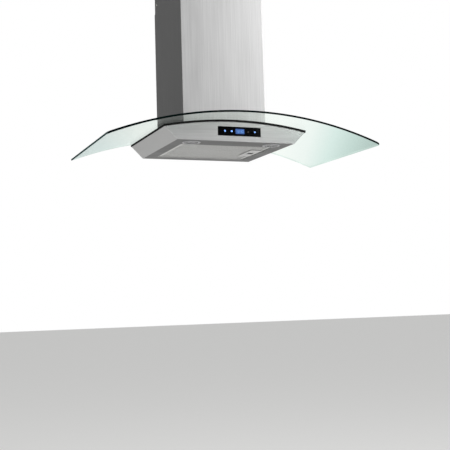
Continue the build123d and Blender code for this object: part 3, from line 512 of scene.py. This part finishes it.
def canopy_parts(corner_radius):
    """Two bent sheets a thickness apart, joined by a half-round edge outside and by the walls of the
    openings inside."""
    edge = GLASS_THICKNESS / 2
    x = canopy_columns(corner_radius, edge)
    front = canopy_front(x, corner_radius, edge)
    marks = [-edge, front.min()]
    for box, opening in patch_boxes():
        marks += [box[2], box[3], opening[1]]
    rows = steps_between(marks, ROW_STEP)[::-1]
    share = (rows[:, None] - rows[0]) / (rows[-1] - rows[0])
    y = rows[0] + share * (front - rows[0])
    plan = np.stack([np.broadcast_to(x, y.shape), y], axis=-1)
    faces = sheet_faces(*y.shape)
    parts = []
    for box, opening in patch_boxes():
        middle = plan.reshape(-1, 2)[faces].mean(axis=1)
        inside = ((middle[:, 0] > box[0]) & (middle[:, 0] < box[1])
                  & (middle[:, 1] > box[2]) & (middle[:, 1] < box[3]))
        faces = faces[~inside]
        parts.append(opening_wall(box_outline(x, rows, box), opening))
    parts += [(lifted(plan, level), faces.tolist()) for level in (GLASS_THICKNESS, 0.0)]
    parts.append(round_edge(plan, edge))
    return parts


def box_outline(x, y, box):
    """The grid's points along the four sides of a plan rectangle, each corner once."""
    across = x[(x > box[0] - MERGE_DISTANCE) & (x < box[1] + MERGE_DISTANCE)]
    along = y[(y > box[2] - MERGE_DISTANCE) & (y < box[3] + MERGE_DISTANCE)]
    return np.concatenate([
        np.stack([across, np.full_like(across, box[3])], -1)[:-1],
        np.stack([np.full_like(along, box[1]), along], -1)[:-1],
        np.stack([across[::-1], np.full_like(across, box[2])], -1)[:-1],
        np.stack([np.full_like(along, box[0]), along[::-1]], -1)[:-1]])


def opening_wall(outline, opening):
    """Wall of an opening: from its patch's outline on top, over an arris, down and out again below."""
    wide = toward_opening(outline, opening, HOLE_ARRIS)
    tight = toward_opening(outline, opening, 0.0)
    wall = np.stack([lifted(outline, GLASS_THICKNESS), lifted(wide, GLASS_THICKNESS),
                     lifted(tight, GLASS_THICKNESS - HOLE_ARRIS), lifted(tight, HOLE_ARRIS),
                     lifted(wide, 0.0), lifted(outline, 0.0)])
    return wall, sheet_faces(len(wall), len(outline), wrap=True).tolist()


def round_edge(plan, edge):
    """Half circle of the edge's radius carried round the outside of the grid."""
    rim = np.concatenate([plan[0], plan[1:, -1], plan[-1, -2::-1], plan[-2:0:-1, 0]])
    run = np.roll(rim, -1, axis=0) - np.roll(rim, 1, axis=0)
    outward = np.stack([-run[:, 1], run[:, 0]], -1) / np.linalg.norm(run, axis=1, keepdims=True)
    angle = np.linspace(math.pi / 2, -math.pi / 2, EDGE_STEPS)[:, None]
    band = rim + outward * edge * np.cos(angle)[..., None]
    band = lifted(band, edge + edge * np.sin(angle))
    return band, sheet_faces(*band.shape[:2], wrap=True).tolist()


# Green cast of the canopy across its plan, partly painted reflection: much darker towards the right front
# tip, standing in for dark things reflected there. Distance along the sweep from the middle of the wall
# edge, colour
PAINTED_REFLECTION_SWEEP = (0.93, -0.37, 0.0)
GLASS_TINT_AND_PAINTED_REFLECTION = [
    (-0.30, (0.84, 0.97, 0.94)),
    (-0.16, (0.92, 0.99, 0.94)),
    (0.28, (0.95, 1.0, 0.96)),
    (0.39, (0.86, 0.94, 0.90)),
    (0.46, (0.69, 0.84, 0.79)),
    (0.52, (0.56, 0.71, 0.66)),
    (0.60, (0.42, 0.54, 0.50)),
]

# Almost no bending, so that what stands behind the sheet isn't shifted at its rounded edges
THIN_SHEET_IOR = 1.02


def clear_glass():
    """Clear sheet whose green cast deepens towards its tips, far more at the right front tip, where the
    darkening is painted reflection; under a thin glossy coat that carries its reflections."""
    material = base_material("canopy_glass", GLASS_TINT_AND_PAINTED_REFLECTION[0][1], 0.0, Transmission_Weight=1.0, IOR=THIN_SHEET_IOR,
                             Coat_Weight=0.09, Coat_Roughness=0.0)
    tree = material.node_tree
    start, end = GLASS_TINT_AND_PAINTED_REFLECTION[0][0], GLASS_TINT_AND_PAINTED_REFLECTION[-1][0]
    share = map_range(tree, distance_along(tree, "Object", PAINTED_REFLECTION_SWEEP), start, end, 0.0, 1.0)
    stops = [((distance - start) / (end - start), colour) for distance, colour in GLASS_TINT_AND_PAINTED_REFLECTION]
    tone = colour_ramp(tree, share.outputs["Result"], stops)
    tree.links.new(tone, tree.nodes["Principled BSDF"].inputs["Base Color"])
    return material


def edge_glass(name, colour, clear):
    """Polished edge of the sheet, dark or clear, with faint long polishing lines along it."""
    material = base_material(name, colour, 0.3, Specular_IOR_Level=0.04,
                             Transmission_Weight=clear, IOR=THIN_SHEET_IOR)
    ground = pattern(material, "ShaderNodeTexNoise", (6.0, 6.0, 60.0), Detail=1.0)
    shade(material, ground, scaled(colour, 0.8), scaled(colour, 1.25))
    drive(material, ground, "Roughness", 0.25, 0.4)
    return material


# Cosine between a face's normal and the sheet's own, above which the face belongs to the sheet
LEVEL_ENOUGH = 0.99

# Material slots of the front edge, the left edge and the clear edges; the sheet has slot 0
EDGE_SLOTS = [1, 2, 3]


def mark_edge_faces(mesh):
    """Gives the faces that tip away from the sheet their edge's slot: dark in front, lighter on the left
    end, and clear on the right end, the back and the openings."""
    normals = np.empty(len(mesh.polygons) * 3)
    centres = np.empty(len(mesh.polygons) * 3)
    mesh.polygons.foreach_get("normal", normals)
    mesh.polygons.foreach_get("center", centres)
    normals, centres = normals.reshape(-1, 3), centres.reshape(-1, 3)
    radial = np.stack([centres[:, 0], np.zeros(len(centres)), centres[:, 2] - CROWN_Z + ARCH_RADIUS], -1)
    radial /= np.linalg.norm(radial, axis=1, keepdims=True)
    across = (normals * radial).sum(axis=1, keepdims=True)
    level = normals - across * radial
    tipped = np.abs(across[:, 0]) < LEVEL_ENOUGH
    front = tipped & (level[:, 1] < -np.abs(level[:, 0])) & (centres[:, 1] < GLASS_LOW[1] / 2)
    left = tipped & (level[:, 0] < -np.abs(level[:, 1])) & (centres[:, 0] < -HALF_SPAN / 2)
    slots = np.select([front, left, tipped], EDGE_SLOTS, 0)
    mesh.polygons.foreach_set("material_index", slots.astype(np.int32))


class HOOD_OT_canopy(bpy.types.Operator):
    """Build the bent glass sheet with its openings and its half-round polished edge."""
    bl_idname = "hood.canopy"
    bl_label = "Glass canopy"

    def execute(self, context):
        settings = context.scene.hood_glass
        glass = make_piece("canopy_sheet", canopy_parts(settings.corner_radius), clear_glass(),
                           replaces=("glass_canopy",))
        for name, colour, clear in (("canopy_front_edge", settings.edge, 0.0),
                                    ("canopy_left_edge", settings.end_edge, 0.0),
                                    ("canopy_clear_edge", settings.clear_edge, 1.0)):
            glass.data.materials.append(edge_glass(name, tuple(colour), clear))
        mark_edge_faces(glass.data)
        return {"FINISHED"}


# ---- Steel body and chimney ---------------------------------------------------------

# Painted shade on the rim: its downward faces are darkened, standing in for the dark reflection below them.
# Their share of the base colour, and the upward part of the normal at which they are fully dark and at
# which they are fully bright
PAINTED_SHADE_SHARE = 0.185
DARK_BELOW = -0.95
BRIGHT_ABOVE = -0.60


def paint_underside_shade(material, share):
    """Painted shade: multiplies the base colour by a share on the faces that look down."""
    tree = material.node_tree
    shader = tree.nodes["Principled BSDF"]
    before = shader.inputs["Base Color"].links[0].from_socket
    place = tree.nodes.new("ShaderNodeTexCoord")
    parts = tree.nodes.new("ShaderNodeSeparateXYZ")
    fall = map_range(tree, parts.outputs["Z"], DARK_BELOW, BRIGHT_ABOVE, share, 1.0)
    darker = tree.nodes.new("ShaderNodeVectorMath")
    darker.operation = "SCALE"
    tree.links.new(place.outputs["Normal"], parts.inputs[0])
    tree.links.new(before, darker.inputs[0])
    tree.links.new(fall.outputs["Result"], darker.inputs["Scale"])
    tree.links.new(darker.outputs["Vector"], shader.inputs["Base Color"])


class HOOD_OT_steelwork(bpy.types.Operator):
    """Finish the folded body, its rim and the chimney covers in brushed steel."""
    bl_idname = "hood.steelwork"
    bl_label = "Steel body and chimney"

    def execute(self, context):
        steel = context.scene.hood_steel
        colour = tuple(steel.colour)
        grain = steel.grain_width
        across = brushed_steel("steel_brushed_across", colour, steel.roughness, grain, "X")
        upright = brushed_steel("steel_brushed_upright", colour, steel.roughness, grain, "Z")
        rim = brushed_steel("steel_rim_painted_shade", colour, steel.roughness, grain, "X")
        # painted shade on the rim's downward faces
        paint_underside_shade(rim, PAINTED_SHADE_SHARE)
        dress(across, "body_shell")
        dress(upright, "lower_chimney", "upper_chimney")
        dress(rim, "bottom_panel")
        return {"FINISHED"}


class HOOD_OT_seals(bpy.types.Operator):
    """Finish the rubber seals and bushes around the glass."""
    bl_idname = "hood.seals"
    bl_label = "Rubber seals"

    def execute(self, context):
        rubber = moulded_plastic("black_rubber", (0.006, 0.006, 0.006), 0.6, grain=900.0,
                                 Specular_IOR_Level=0.15)
        dress(rubber, "canopy_gasket", "inner_glass_gasket", "motor_box_gasket", "glass_bushes")
        return {"FINISHED"}


# ---- Control panel ------------------------------------------------------------------

def panel_spot(offset, level=0.0, rise=0.0):
    """Point on the panel's front, measured from its centre."""
    low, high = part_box("control_glass")
    return ((low[0] + high[0]) / 2 + offset, low[1] - level, (low[2] + high[2]) / 2 + rise)


ACROSS, UPWARD, OUTWARD = (1, 0, 0), (0, 0, 1), (0, -1, 0)

# Edge of the touch panel's glass, from its back to its face: inset and height, in millimetres
PANEL_EDGE_MM = [(0.0, -0.9), (0.15, -0.45), (0.5, -0.12), (1.1, 0.0)]
PANEL_CORNER = 1.8 * MM
DISPLAY_CORNER = 0.8 * MM
DISPLAY_SINK = 0.3 * MM

# Height of the printed layers over the panel's face, and the thickness and width of their strokes
PRINT_LEVEL = 0.05 * MM
DIGIT_LEVEL = 0.2 * MM
PRINT_THICKNESS = 0.12 * MM
STROKE_WIDTH = 0.9 * MM

# The seven bars of a digit, between corners of a cell that is two half widths wide and four high
SEGMENTS = {
    "a": ((-1, 2), (1, 2)), "b": ((1, 2), (1, 0)), "c": ((1, 0), (1, -2)), "d": ((-1, -2), (1, -2)),
    "e": ((-1, 0), (-1, -2)), "f": ((-1, 2), (-1, 0)), "g": ((-1, 0), (1, 0)),
}
DIGITS = {"0": "abcdef", "1": "bc", "2": "abged", "3": "abgcd"}
DIGIT_HALF_WIDTH = 1.9 * MM

# From one digit to the next and width of a bar, in half widths; share of a bar cut off at each end
DIGIT_ADVANCE = 3.4
DIGIT_BAR_WIDTH = 0.42
DIGIT_BAR_TRIM = 0.08

# Touch symbols, in millimetres: place across the panel, ring radius, the ring's start and sweep in
# degrees, and straight strokes
SYMBOLS = {
    "symbol_power": (52.0, 2.3, 120, 300, [((0, 0.3), (0, 3.0))]),
    "symbol_lower": (-50.0, 2.5, 0, 360, [((-1.2, 0), (1.2, 0))]),
    "symbol_raise": (-27.0, 2.5, 0, 360, [((-1.2, 0), (1.2, 0)), ((0, -1.2), (0, 1.2))]),
    "symbol_lamp": (29.5, 1.9, -60, 300, [((-0.9, -2.6), (0.9, -2.6))]),
}
UNLIT_SYMBOLS = ("symbol_lamp",)


def digit_bars(text, centre_offset, half_width):
    """Seven-bar digits: each bar is a short flat strip between two corners of the digit's cell."""
    starts, ends = [], []
    advance = half_width * DIGIT_ADVANCE
    for index, mark in enumerate(text):
        middle = centre_offset + (index - (len(text) - 1) / 2) * advance
        for bar in DIGITS[mark]:
            first, last = (np.array(panel_spot(middle + half_width * u, DIGIT_LEVEL, half_width * v))
                           for u, v in SEGMENTS[bar])
            trim = (last - first) * DIGIT_BAR_TRIM
            starts.append(first + trim)
            ends.append(last - trim)
    return bars(np.array(starts), np.array(ends), half_width * DIGIT_BAR_WIDTH, PRINT_THICKNESS, OUTWARD)


def symbol_bars(offset, strokes):
    """Straight strokes of a touch symbol, in millimetres about its centre."""
    points = np.array([[panel_spot(offset + u * MM, PRINT_LEVEL, v * MM) for u, v in stroke]
                       for stroke in strokes])
    return bars(points[:, 0], points[:, 1], STROKE_WIDTH, PRINT_THICKNESS, OUTWARD)


def symbol_arc(offset, radius, start, sweep, steps=20):
    """Part of a ring, made of short strokes round a circle."""
    angle = np.radians(start) + np.radians(sweep) * np.arange(steps + 1) / steps
    points = np.stack([radius * np.cos(angle), radius * np.sin(angle)], -1)
    strokes = [(tuple(first), tuple(last)) for first, last in zip(points[:-1], points[1:])]
    return symbol_bars(offset, strokes)


def plain_board():
    """Green circuit board with a faint maze of tracks."""
    material = base_material("circuit_board", (0.02, 0.14, 0.06), 0.35)
    tracks = pattern(material, "ShaderNodeTexVoronoi", (300.0,) * 3)
    shade(material, tracks, (0.03, 0.2, 0.08), (0.015, 0.1, 0.04), 0.2, 0.5)
    return material


class HOOD_OT_control_panel(bpy.types.Operator):
    """Build the black touch panel with its lit display and symbols, and finish what is behind it."""
    bl_idname = "hood.control_panel"
    bl_label = "Control panel"

    def execute(self, context):
        settings = context.scene.hood_panel
        back = lit_plastic("display_glow", tuple(settings.backlight), 0.15)
        self.build_touch_panel()
        self.build_display(back)
        lit = lit_plastic("symbol_glow", tuple(settings.glow), 1.6)
        # Painted light: the unlit lamp symbol is given a faint glow of its own, though no light is behind
        # it.
        faint_painted_glow = lit_plastic("symbol_painted_glow", (0.09, 0.07, 0.06), 0.4)
        for name, (place, radius, first, sweep, strokes) in SYMBOLS.items():
            offset = place * MM
            make_piece(name, [symbol_arc(offset, radius, first, sweep), symbol_bars(offset, strokes)],
                       faint_painted_glow if name in UNLIT_SYMBOLS else lit)
        dress(back, "display_module")
        dress(plain_board(), "control_board")
        dress(moulded_plastic("grey_foam", (0.16, 0.16, 0.17), 0.8, grain=600.0), "touch_pads")
        return {"FINISHED"}

    def build_touch_panel(self):
        """Black glass with rounded corners and a softened edge."""
        low, high = node_box("control_glass")
        black = base_material("panel_glass", (0.0015, 0.0015, 0.002), 0.12, Specular_IOR_Level=0.03)
        prints = pattern(black, "ShaderNodeTexNoise", (60.0,) * 3, Detail=3.0)
        drive(black, prints, "Roughness", 0.08, 0.22)
        rings = [(0.0, low[1] - high[1])] + [(inset * MM, level * MM) for inset, level in PANEL_EDGE_MM]
        make_piece("touch_panel", [plate(high[0] - low[0], high[2] - low[2], PANEL_CORNER, rings,
                                         panel_spot(0), ACROSS, UPWARD, OUTWARD)],
                   black, replaces=("control_glass",))

    def build_display(self, back):
        """Lit window as large as the display module behind it, with its digits."""
        low, high = node_box("display_module")
        offset = (low[0] + high[0]) / 2 - panel_spot(0)[0]
        make_piece("display_window", [plate(high[0] - low[0], high[2] - low[2], DISPLAY_CORNER,
                                            [(0, -DISPLAY_SINK), (0, PRINT_LEVEL)],
                                            panel_spot(offset), ACROSS, UPWARD, OUTWARD)],
                   back)
        make_piece("display_digits", [digit_bars("1230", offset, DIGIT_HALF_WIDTH)],
                   lit_plastic("digit_glow", (0.14, 0.34, 0.72), 0.5))


# ---- Lamps --------------------------------------------------------------------------

# Points along the curves of a lamp's ring, lens face and bowl
RING_STEPS = 15
LENS_STEPS = 9
BOWL_STEPS = 12

# Lamp bezel: a half-round ring, its lip over the lens and a sleeve round the lens
LIP_SHARE = 0.70
RING_HEIGHT = 2.2 * MM
SLEEVE_WALL = 1.2 * MM
LENS_CLEARANCE = 0.1 * MM
LIP_LEVEL = 2.7 * MM

# Lamp lens: its rim's two levels and how far its face swells down
LENS_RIM_LEVEL = 2.75 * MM
LENS_TOP_LEVEL = 4.7 * MM
LENS_SWELL = 0.9 * MM

# Lamp reflector: gap inside the lens's rim, mouth level, depth, neck radius, wall and flare
BOWL_GAP = 0.4 * MM
BOWL_LEVEL = 4.8 * MM
BOWL_DEPTH = 19.5 * MM
BOWL_NECK = 9 * MM
BOWL_WALL = 0.7 * MM
BOWL_FLARE = 1.8


def bezel_profile(outer, lens_radius, height):
    """Half-round ring below, then the sleeve up the outside of the lens and the lip under it."""
    lip = outer * LIP_SHARE
    crown = [(lip + (outer - lip) * (1 - math.cos(step)) / 2, RING_HEIGHT * (1 - math.sin(step)))
             for step in np.linspace(0, math.pi, RING_STEPS)]
    sleeve, bore = lens_radius + SLEEVE_WALL, lens_radius + LENS_CLEARANCE
    return crown + [(sleeve, RING_HEIGHT), (sleeve, height), (bore, height), (bore, LIP_LEVEL),
                    (lip, LIP_LEVEL), crown[0]]


def lens_profile(radius):
    """Disc whose lower face swells down as a parabola."""
    face = [(radius * step, LENS_RIM_LEVEL - LENS_SWELL * (1 - step ** 2))
            for step in np.linspace(0, 1, LENS_STEPS)]
    return face + [(radius, LENS_TOP_LEVEL), (0.0, LENS_TOP_LEVEL)]


def bowl_profile(mouth):
    """Flared bowl that narrows from its mouth up to its neck, as a wall of even width."""
    inside = [(mouth - (mouth - BOWL_NECK) * step ** BOWL_FLARE, BOWL_LEVEL + BOWL_DEPTH * step)
              for step in np.linspace(0, 1, BOWL_STEPS)]
    outside = [(radius + BOWL_WALL, level) for radius, level in inside[::-1]]
    return inside + outside + inside[:1]


class HOOD_OT_lamps(bpy.types.Operator):
    """Build both lamps: turned chrome bezel, frosted lens and dished reflector."""
    bl_idname = "hood.lamps"
    bl_label = "Lamps"

    def execute(self, context):
        # Painted shade: the chrome and the frosted lens are given dark colours that stand in for the dark
        # surroundings they reflect.
        chrome = plain_metal("lamp_chrome", (0.36, 0.36, 0.37), 0.09, spots=400.0)
        frosted = base_material("lamp_frosted", (0.42, 0.43, 0.43), 0.12, Transmission_Weight=0.9, IOR=1.45)
        sand = pattern(frosted, "ShaderNodeTexNoise", (1600.0,) * 3, Detail=2.0)
        raise_surface(frosted, sand, 0.00005, 0.6)
        bright = plain_metal("lamp_reflector_metal", (0.80, 0.80, 0.79), 0.10, spots=150.0)
        module = moulded_plastic("lamp_module_plastic", (0.72, 0.70, 0.62), 0.45)
        for side in ("left", "right"):
            self.build_lamp(side, chrome, frosted, bright)
            dress(module, f"{side}_lamp_module")
        return {"FINISHED"}

    def build_lamp(self, side, chrome, frosted, bright):
        """One lamp, from the sizes of its own bezel and lens; levels are measured up from the bezel."""
        low, high = node_box(f"{side}_lamp_bezel")
        lens_low, lens_high = node_box(f"{side}_lamp_lens")
        centre = ((low[0] + high[0]) / 2, (low[1] + high[1]) / 2, low[2])
        lens_radius = (lens_high[0] - lens_low[0]) / 2
        ring = bezel_profile((high[0] - low[0]) / 2, lens_radius, high[2] - low[2])
        disc = lens_profile(lens_radius)
        bowl = bowl_profile(lens_radius - BOWL_GAP)
        for shape, profile, material, slot, node in (
                ("bezel_ring", ring, chrome, "chrome_trim", "bezel"),
                ("lens_disc", disc, frosted, "lamp_glass", "lens"),
                ("reflector_bowl", bowl, bright, "aluminium", "reflector")):
            make_piece(f"{side}_{shape}", [turned(profile, centre)], material,
                       replaces=(f"{side}_lamp_{node}",))


# ---- Grease filter ------------------------------------------------------------------

STRAND_THICKNESS = 0.6 * MM

# Share of a strand's width by which the peaks of two rows stop short of the line between the rows
PEAK_SHORTFALL = 0.25


def expanded_mesh(low, high, length, height, strand):
    """Rows of zigzag strands: each row mirrors the next, so their peaks meet and leave diamonds."""
    half = length / 2
    columns = int((high[0] - low[0]) / half)
    rows = int((high[1] - low[1]) / height)
    x = np.linspace(low[0], high[0], columns + 1)
    y = np.linspace(low[1] + height / 2, high[1] - height / 2, rows)
    peak = height / 2 - strand * PEAK_SHORTFALL
    wave = np.where(np.arange(columns + 1) % 2 == 0, peak, -peak)
    flip = np.where(np.arange(rows) % 2 == 0, 1.0, -1.0)
    y_grid = y[:, None] + flip[:, None] * wave[None, :]
    x_grid = np.broadcast_to(x, y_grid.shape)
    z_grid = np.full_like(y_grid, (low[2] + high[2]) / 2)
    points = np.stack([x_grid, y_grid, z_grid], -1)
    return bars(points[:, :-1].reshape(-1, 3), points[:, 1:].reshape(-1, 3), strand, STRAND_THICKNESS,
                (0, 0, -1))


def knitted_mesh(name, colour):
    """Layers of fine aluminium mesh seen through each other: bright strands over dark gaps, with soft bands
    along X painted as the light and shade of pressed ribs."""
    material = base_material(name, colour, 0.45, metallic=1.0)
    painted_rib_shade = pattern(material, "ShaderNodeTexNoise", (1.5, 55.0, 55.0), Detail=2.0)
    holes = pattern(material, "ShaderNodeTexVoronoi", (160.0, 330.0, 330.0))
    # painted shade: bands of light and shade of pressed ribs along X
    shade(material, painted_rib_shade, scaled(colour, 0.80), scaled(colour, 1.08), 0.35, 0.65)
    drive(material, holes, "Roughness", 0.35, 0.65, 0.1, 0.7)
    raise_surface(material, holes, 0.0004, 0.7)
    return material


class HOOD_OT_grease_filter(bpy.types.Operator):
    """Build the filter's expanded mesh and finish its frame, core and latch plate."""
    bl_idname = "hood.grease_filter"
    bl_label = "Grease filter"

    def execute(self, context):
        settings = context.scene.hood_filter
        satin = plain_metal("filter_aluminium", (0.73, 0.73, 0.72), 0.42)
        strand_metal = plain_metal("mesh_aluminium", (0.86, 0.86, 0.85), 0.38, spots=500.0)
        core_metal = knitted_mesh("filter_core_mesh", (0.72, 0.72, 0.71))
        low, high = node_box("filter_lower_mesh")
        make_piece("filter_expanded_mesh",
                   [expanded_mesh(low, high, settings.diamond_length, settings.diamond_height,
                                  settings.strand_width)],
                   strand_metal, body="filter", replaces=("filter_lower_mesh",),
                   smooth_angle=20)
        dress(core_metal, "filter_core")
        dress(satin, "filter_frame", "filter_upper_mesh", "latch_plate")
        return {"FINISHED"}


# ---- Inside -------------------------------------------------------------------------

class HOOD_OT_inside(bpy.types.Operator):
    """Finish the motor box, blower, damper, brackets, wiring boxes and fasteners."""
    bl_idname = "hood.inside"
    bl_label = "Inside parts"

    def execute(self, context):
        zinc_sheet = galvanised("galvanised_sheet", (0.55, 0.57, 0.58))
        dress(zinc_sheet, "motor_box", "hanging_bracket", "upper_chimney_bracket", "terminal_box",
              "terminal_box_lid", "terminal_lid_lugs", "motor_bracket", "motor_housing")
        plated = plain_metal("zinc_plate", (0.62, 0.62, 0.58), 0.32, spots=700.0)
        dress(plated, "glass_bolts", "glass_nuts", "collar_screws", "motor_bracket_screws",
              "terminal_lid_screws", "upper_chimney_screws", "filter_pivot_pins", "latch_spring",
              "motor_shaft", "damper_pins", "motor_bearings")
        dark_plastic = moulded_plastic("black_plastic", (0.03, 0.03, 0.032), 0.42)
        dress(dark_plastic, "control_housing", "lamp_driver", "cable_gland", "left_scroll_half",
              "right_scroll_half", "outlet_collar", "left_damper_flap", "right_damper_flap", "latch_slider")
        pale_plastic = moulded_plastic("white_plastic", (0.70, 0.69, 0.64), 0.4)
        dress(pale_plastic, "terminal_block", "run_capacitor", "impeller")
        laminations = plain_metal("motor_laminations", (0.26, 0.26, 0.27), 0.5, spots=90.0)
        dress(laminations, "motor_stator", "motor_rotor")
        return {"FINISHED"}


# ---- Stage --------------------------------------------------------------------------

def soft_light(name, place, target, size, power):
    """Square area light turned to its target."""
    data = bpy.data.lights.new(name, "AREA")
    data.shape = "SQUARE"
    data.size = size
    data.energy = power
    lamp = bpy.data.objects.new(name, data)
    lamp.location = place
    lamp.rotation_euler = (Vector(target) - Vector(place)).to_track_quat("-Z", "Y").to_euler()
    bpy.context.scene.collection.objects.link(lamp)


# Direction of the bright side of the studio, and how bright each side is
BRIGHT_SIDE = (0.93, -0.37, 0.0)
DARK_SIDE_LEVEL = 0.10
BRIGHT_SIDE_LEVEL = 0.66
DIFFUSE_LEVEL = 0.75

# Soft lights: name, place, target, side in metres, power in watts
LIGHTS = (
    ("key_light", (2.6, -2.6, 1.3), (0, -0.2, -0.1), 2.0, 42),
    ("fill_light", (-2.4, -3.0, 0.6), (0, -0.2, -0.1), 1.6, 10),
    ("top_light", (0.3, -0.6, 2.6), (0, -0.2, 0), 2.0, 30),
)
FLOOR_HALF_WIDTH = 30.0

CAMERA_PLACE = (-1.0576, -2.9213, CROWN_Z - 0.5614)
CAMERA_YAW = 0.37744
CAMERA_PITCH = 0.08328
CAMERA_ROLL = -0.02944
CAMERA_LENS_MM = 70.62
CAMERA_SENSOR_MM = 36.0
CAMERA_NEAREST = 10 * MM


def set_camera(scene):
    """Camera low at the front left, looking slightly up to the right."""
    data = bpy.data.cameras.new("camera")
    data.lens = CAMERA_LENS_MM
    data.sensor_width = CAMERA_SENSOR_MM
    data.clip_start = CAMERA_NEAREST
    camera = bpy.data.objects.new("camera", data)
    forward = Vector((math.sin(CAMERA_YAW) * math.cos(CAMERA_PITCH),
                      math.cos(CAMERA_YAW) * math.cos(CAMERA_PITCH), math.sin(CAMERA_PITCH)))
    level_right = Vector((math.cos(CAMERA_YAW), -math.sin(CAMERA_YAW), 0))
    level_up = level_right.cross(forward)
    right = math.cos(CAMERA_ROLL) * level_right + math.sin(CAMERA_ROLL) * level_up
    up = math.cos(CAMERA_ROLL) * level_up - math.sin(CAMERA_ROLL) * level_right
    turn = Matrix((right, up, -forward)).transposed().to_4x4()
    camera.matrix_world = Matrix.Translation(CAMERA_PLACE) @ turn
    scene.collection.objects.link(camera)
    scene.camera = camera


def set_world(scene):
    """Studio surroundings: white behind the hood, even light on the floor, and for reflections a
    soft ramp by direction, bright at the front right and dark at the back left."""
    world = bpy.data.worlds.new("studio")
    world.use_nodes = True
    tree = world.node_tree
    tree.nodes.remove(tree.nodes["Background"])
    reflected = background(tree, 1.0)
    ramp = map_range(tree, distance_along(tree, "Generated", BRIGHT_SIDE), -1.0, 1.0,
                     DARK_SIDE_LEVEL, BRIGHT_SIDE_LEVEL)
    ramp.interpolation_type = "SMOOTHSTEP"
    tree.links.new(ramp.outputs["Result"], reflected.inputs["Strength"])
    path = tree.nodes.new("ShaderNodeLightPath")
    lit = blend_shaders(tree, path.outputs["Is Diffuse Ray"], reflected, background(tree, DIFFUSE_LEVEL))
    through = math_node(tree, "SUBTRACT", path.outputs["Is Transmission Ray"], path.outputs["Glossy Depth"])
    seen = math_node(tree, "MAXIMUM", path.outputs["Is Camera Ray"], through)
    whole = blend_shaders(tree, seen, lit, background(tree, 1.0))
    tree.links.new(whole.outputs[0], tree.nodes["World Output"].inputs["Surface"])
    scene.world = world


def background(tree, strength):
    """Plain white background of one strength."""
    node = tree.nodes.new("ShaderNodeBackground")
    node.inputs["Color"].default_value = (1.0, 1.0, 1.0, 1.0)
    node.inputs["Strength"].default_value = strength
    return node


def blend_shaders(tree, share, first, second):
    """Mix of two shaders by a share."""
    node = tree.nodes.new("ShaderNodeMixShader")
    tree.links.new(share, node.inputs["Fac"])
    tree.links.new(first.outputs[0], node.inputs[1])
    tree.links.new(second.outputs[0], node.inputs[2])
    return node


def math_node(tree, operation, first, second):
    """Clamped arithmetic on two values."""
    node = tree.nodes.new("ShaderNodeMath")
    node.operation = operation
    node.use_clamp = True
    tree.links.new(first, node.inputs[0])
    tree.links.new(second, node.inputs[1])
    return node.outputs[0]


class HOOD_OT_stage(bpy.types.Operator):
    """Lay the plain floor, hang the soft lights and set the camera."""
    bl_idname = "hood.stage"
    bl_label = "Stage"

    def execute(self, context):
        scene = context.scene
        settings = scene.hood_stage
        floor_z = CAD_BOX[0][2] - settings.floor_drop
        reach = np.linspace(-FLOOR_HALF_WIDTH, FLOOR_HALF_WIDTH, 3)
        x, y = np.meshgrid(reach, reach)
        mesh = bpy.data.meshes.new("floor")
        points = np.stack([x, y, np.full_like(x, floor_z)], -1).reshape(-1, 3)
        mesh.from_pydata(points.tolist(), [], sheet_faces(*x.shape).tolist())
        mesh.materials.append(base_material("floor_paint", tuple(settings.floor_colour), 0.8))
        floor = bpy.data.objects.new("floor", mesh)
        scene.collection.objects.link(floor)
        for light in LIGHTS:
            soft_light(*light)
        set_world(scene)
        set_camera(scene)
        scene.view_settings.view_transform = "Standard"
        return {"FINISHED"}


# ---- Add-on -------------------------------------------------------------------------

OPERATORS = (HOOD_OT_canopy, HOOD_OT_steelwork, HOOD_OT_seals, HOOD_OT_control_panel, HOOD_OT_lamps,
             HOOD_OT_grease_filter, HOOD_OT_inside, HOOD_OT_stage)


class HOOD_PT_builder(bpy.types.Panel):
    """Lists the hood's sizes and colours and the steps that build it."""
    bl_label = "Hood"
    bl_idname = "HOOD_PT_builder"
    bl_space_type = "VIEW_3D"
    bl_region_type = "UI"
    bl_category = "Hood"

    def draw(self, context):
        for name, group in SETTINGS.items():
            box = self.layout.box()
            for key in group.__annotations__:
                box.prop(getattr(context.scene, name), key)
        for operator in OPERATORS:
            self.layout.operator(operator.bl_idname)


def register():
    """Adds the settings, the steps and the panel."""
    for group in SETTINGS.values():
        bpy.utils.register_class(group)
    for name, group in SETTINGS.items():
        setattr(bpy.types.Scene, name, bpy.props.PointerProperty(type=group))
    for item in (*OPERATORS, HOOD_PT_builder):
        bpy.utils.register_class(item)


def unregister():
    """Takes away what register added, in the opposite order."""
    for item in (HOOD_PT_builder, *reversed(OPERATORS)):
        bpy.utils.unregister_class(item)
    for name in SETTINGS:
        delattr(bpy.types.Scene, name)
    for group in SETTINGS.values():
        bpy.utils.unregister_class(group)


def main():
    """Runs every step in order."""
    register()
    for operator in OPERATORS:
        group, step = operator.bl_idname.split(".")
        getattr(getattr(bpy.ops, group), step)()


if __name__ == "__main__":
    main()
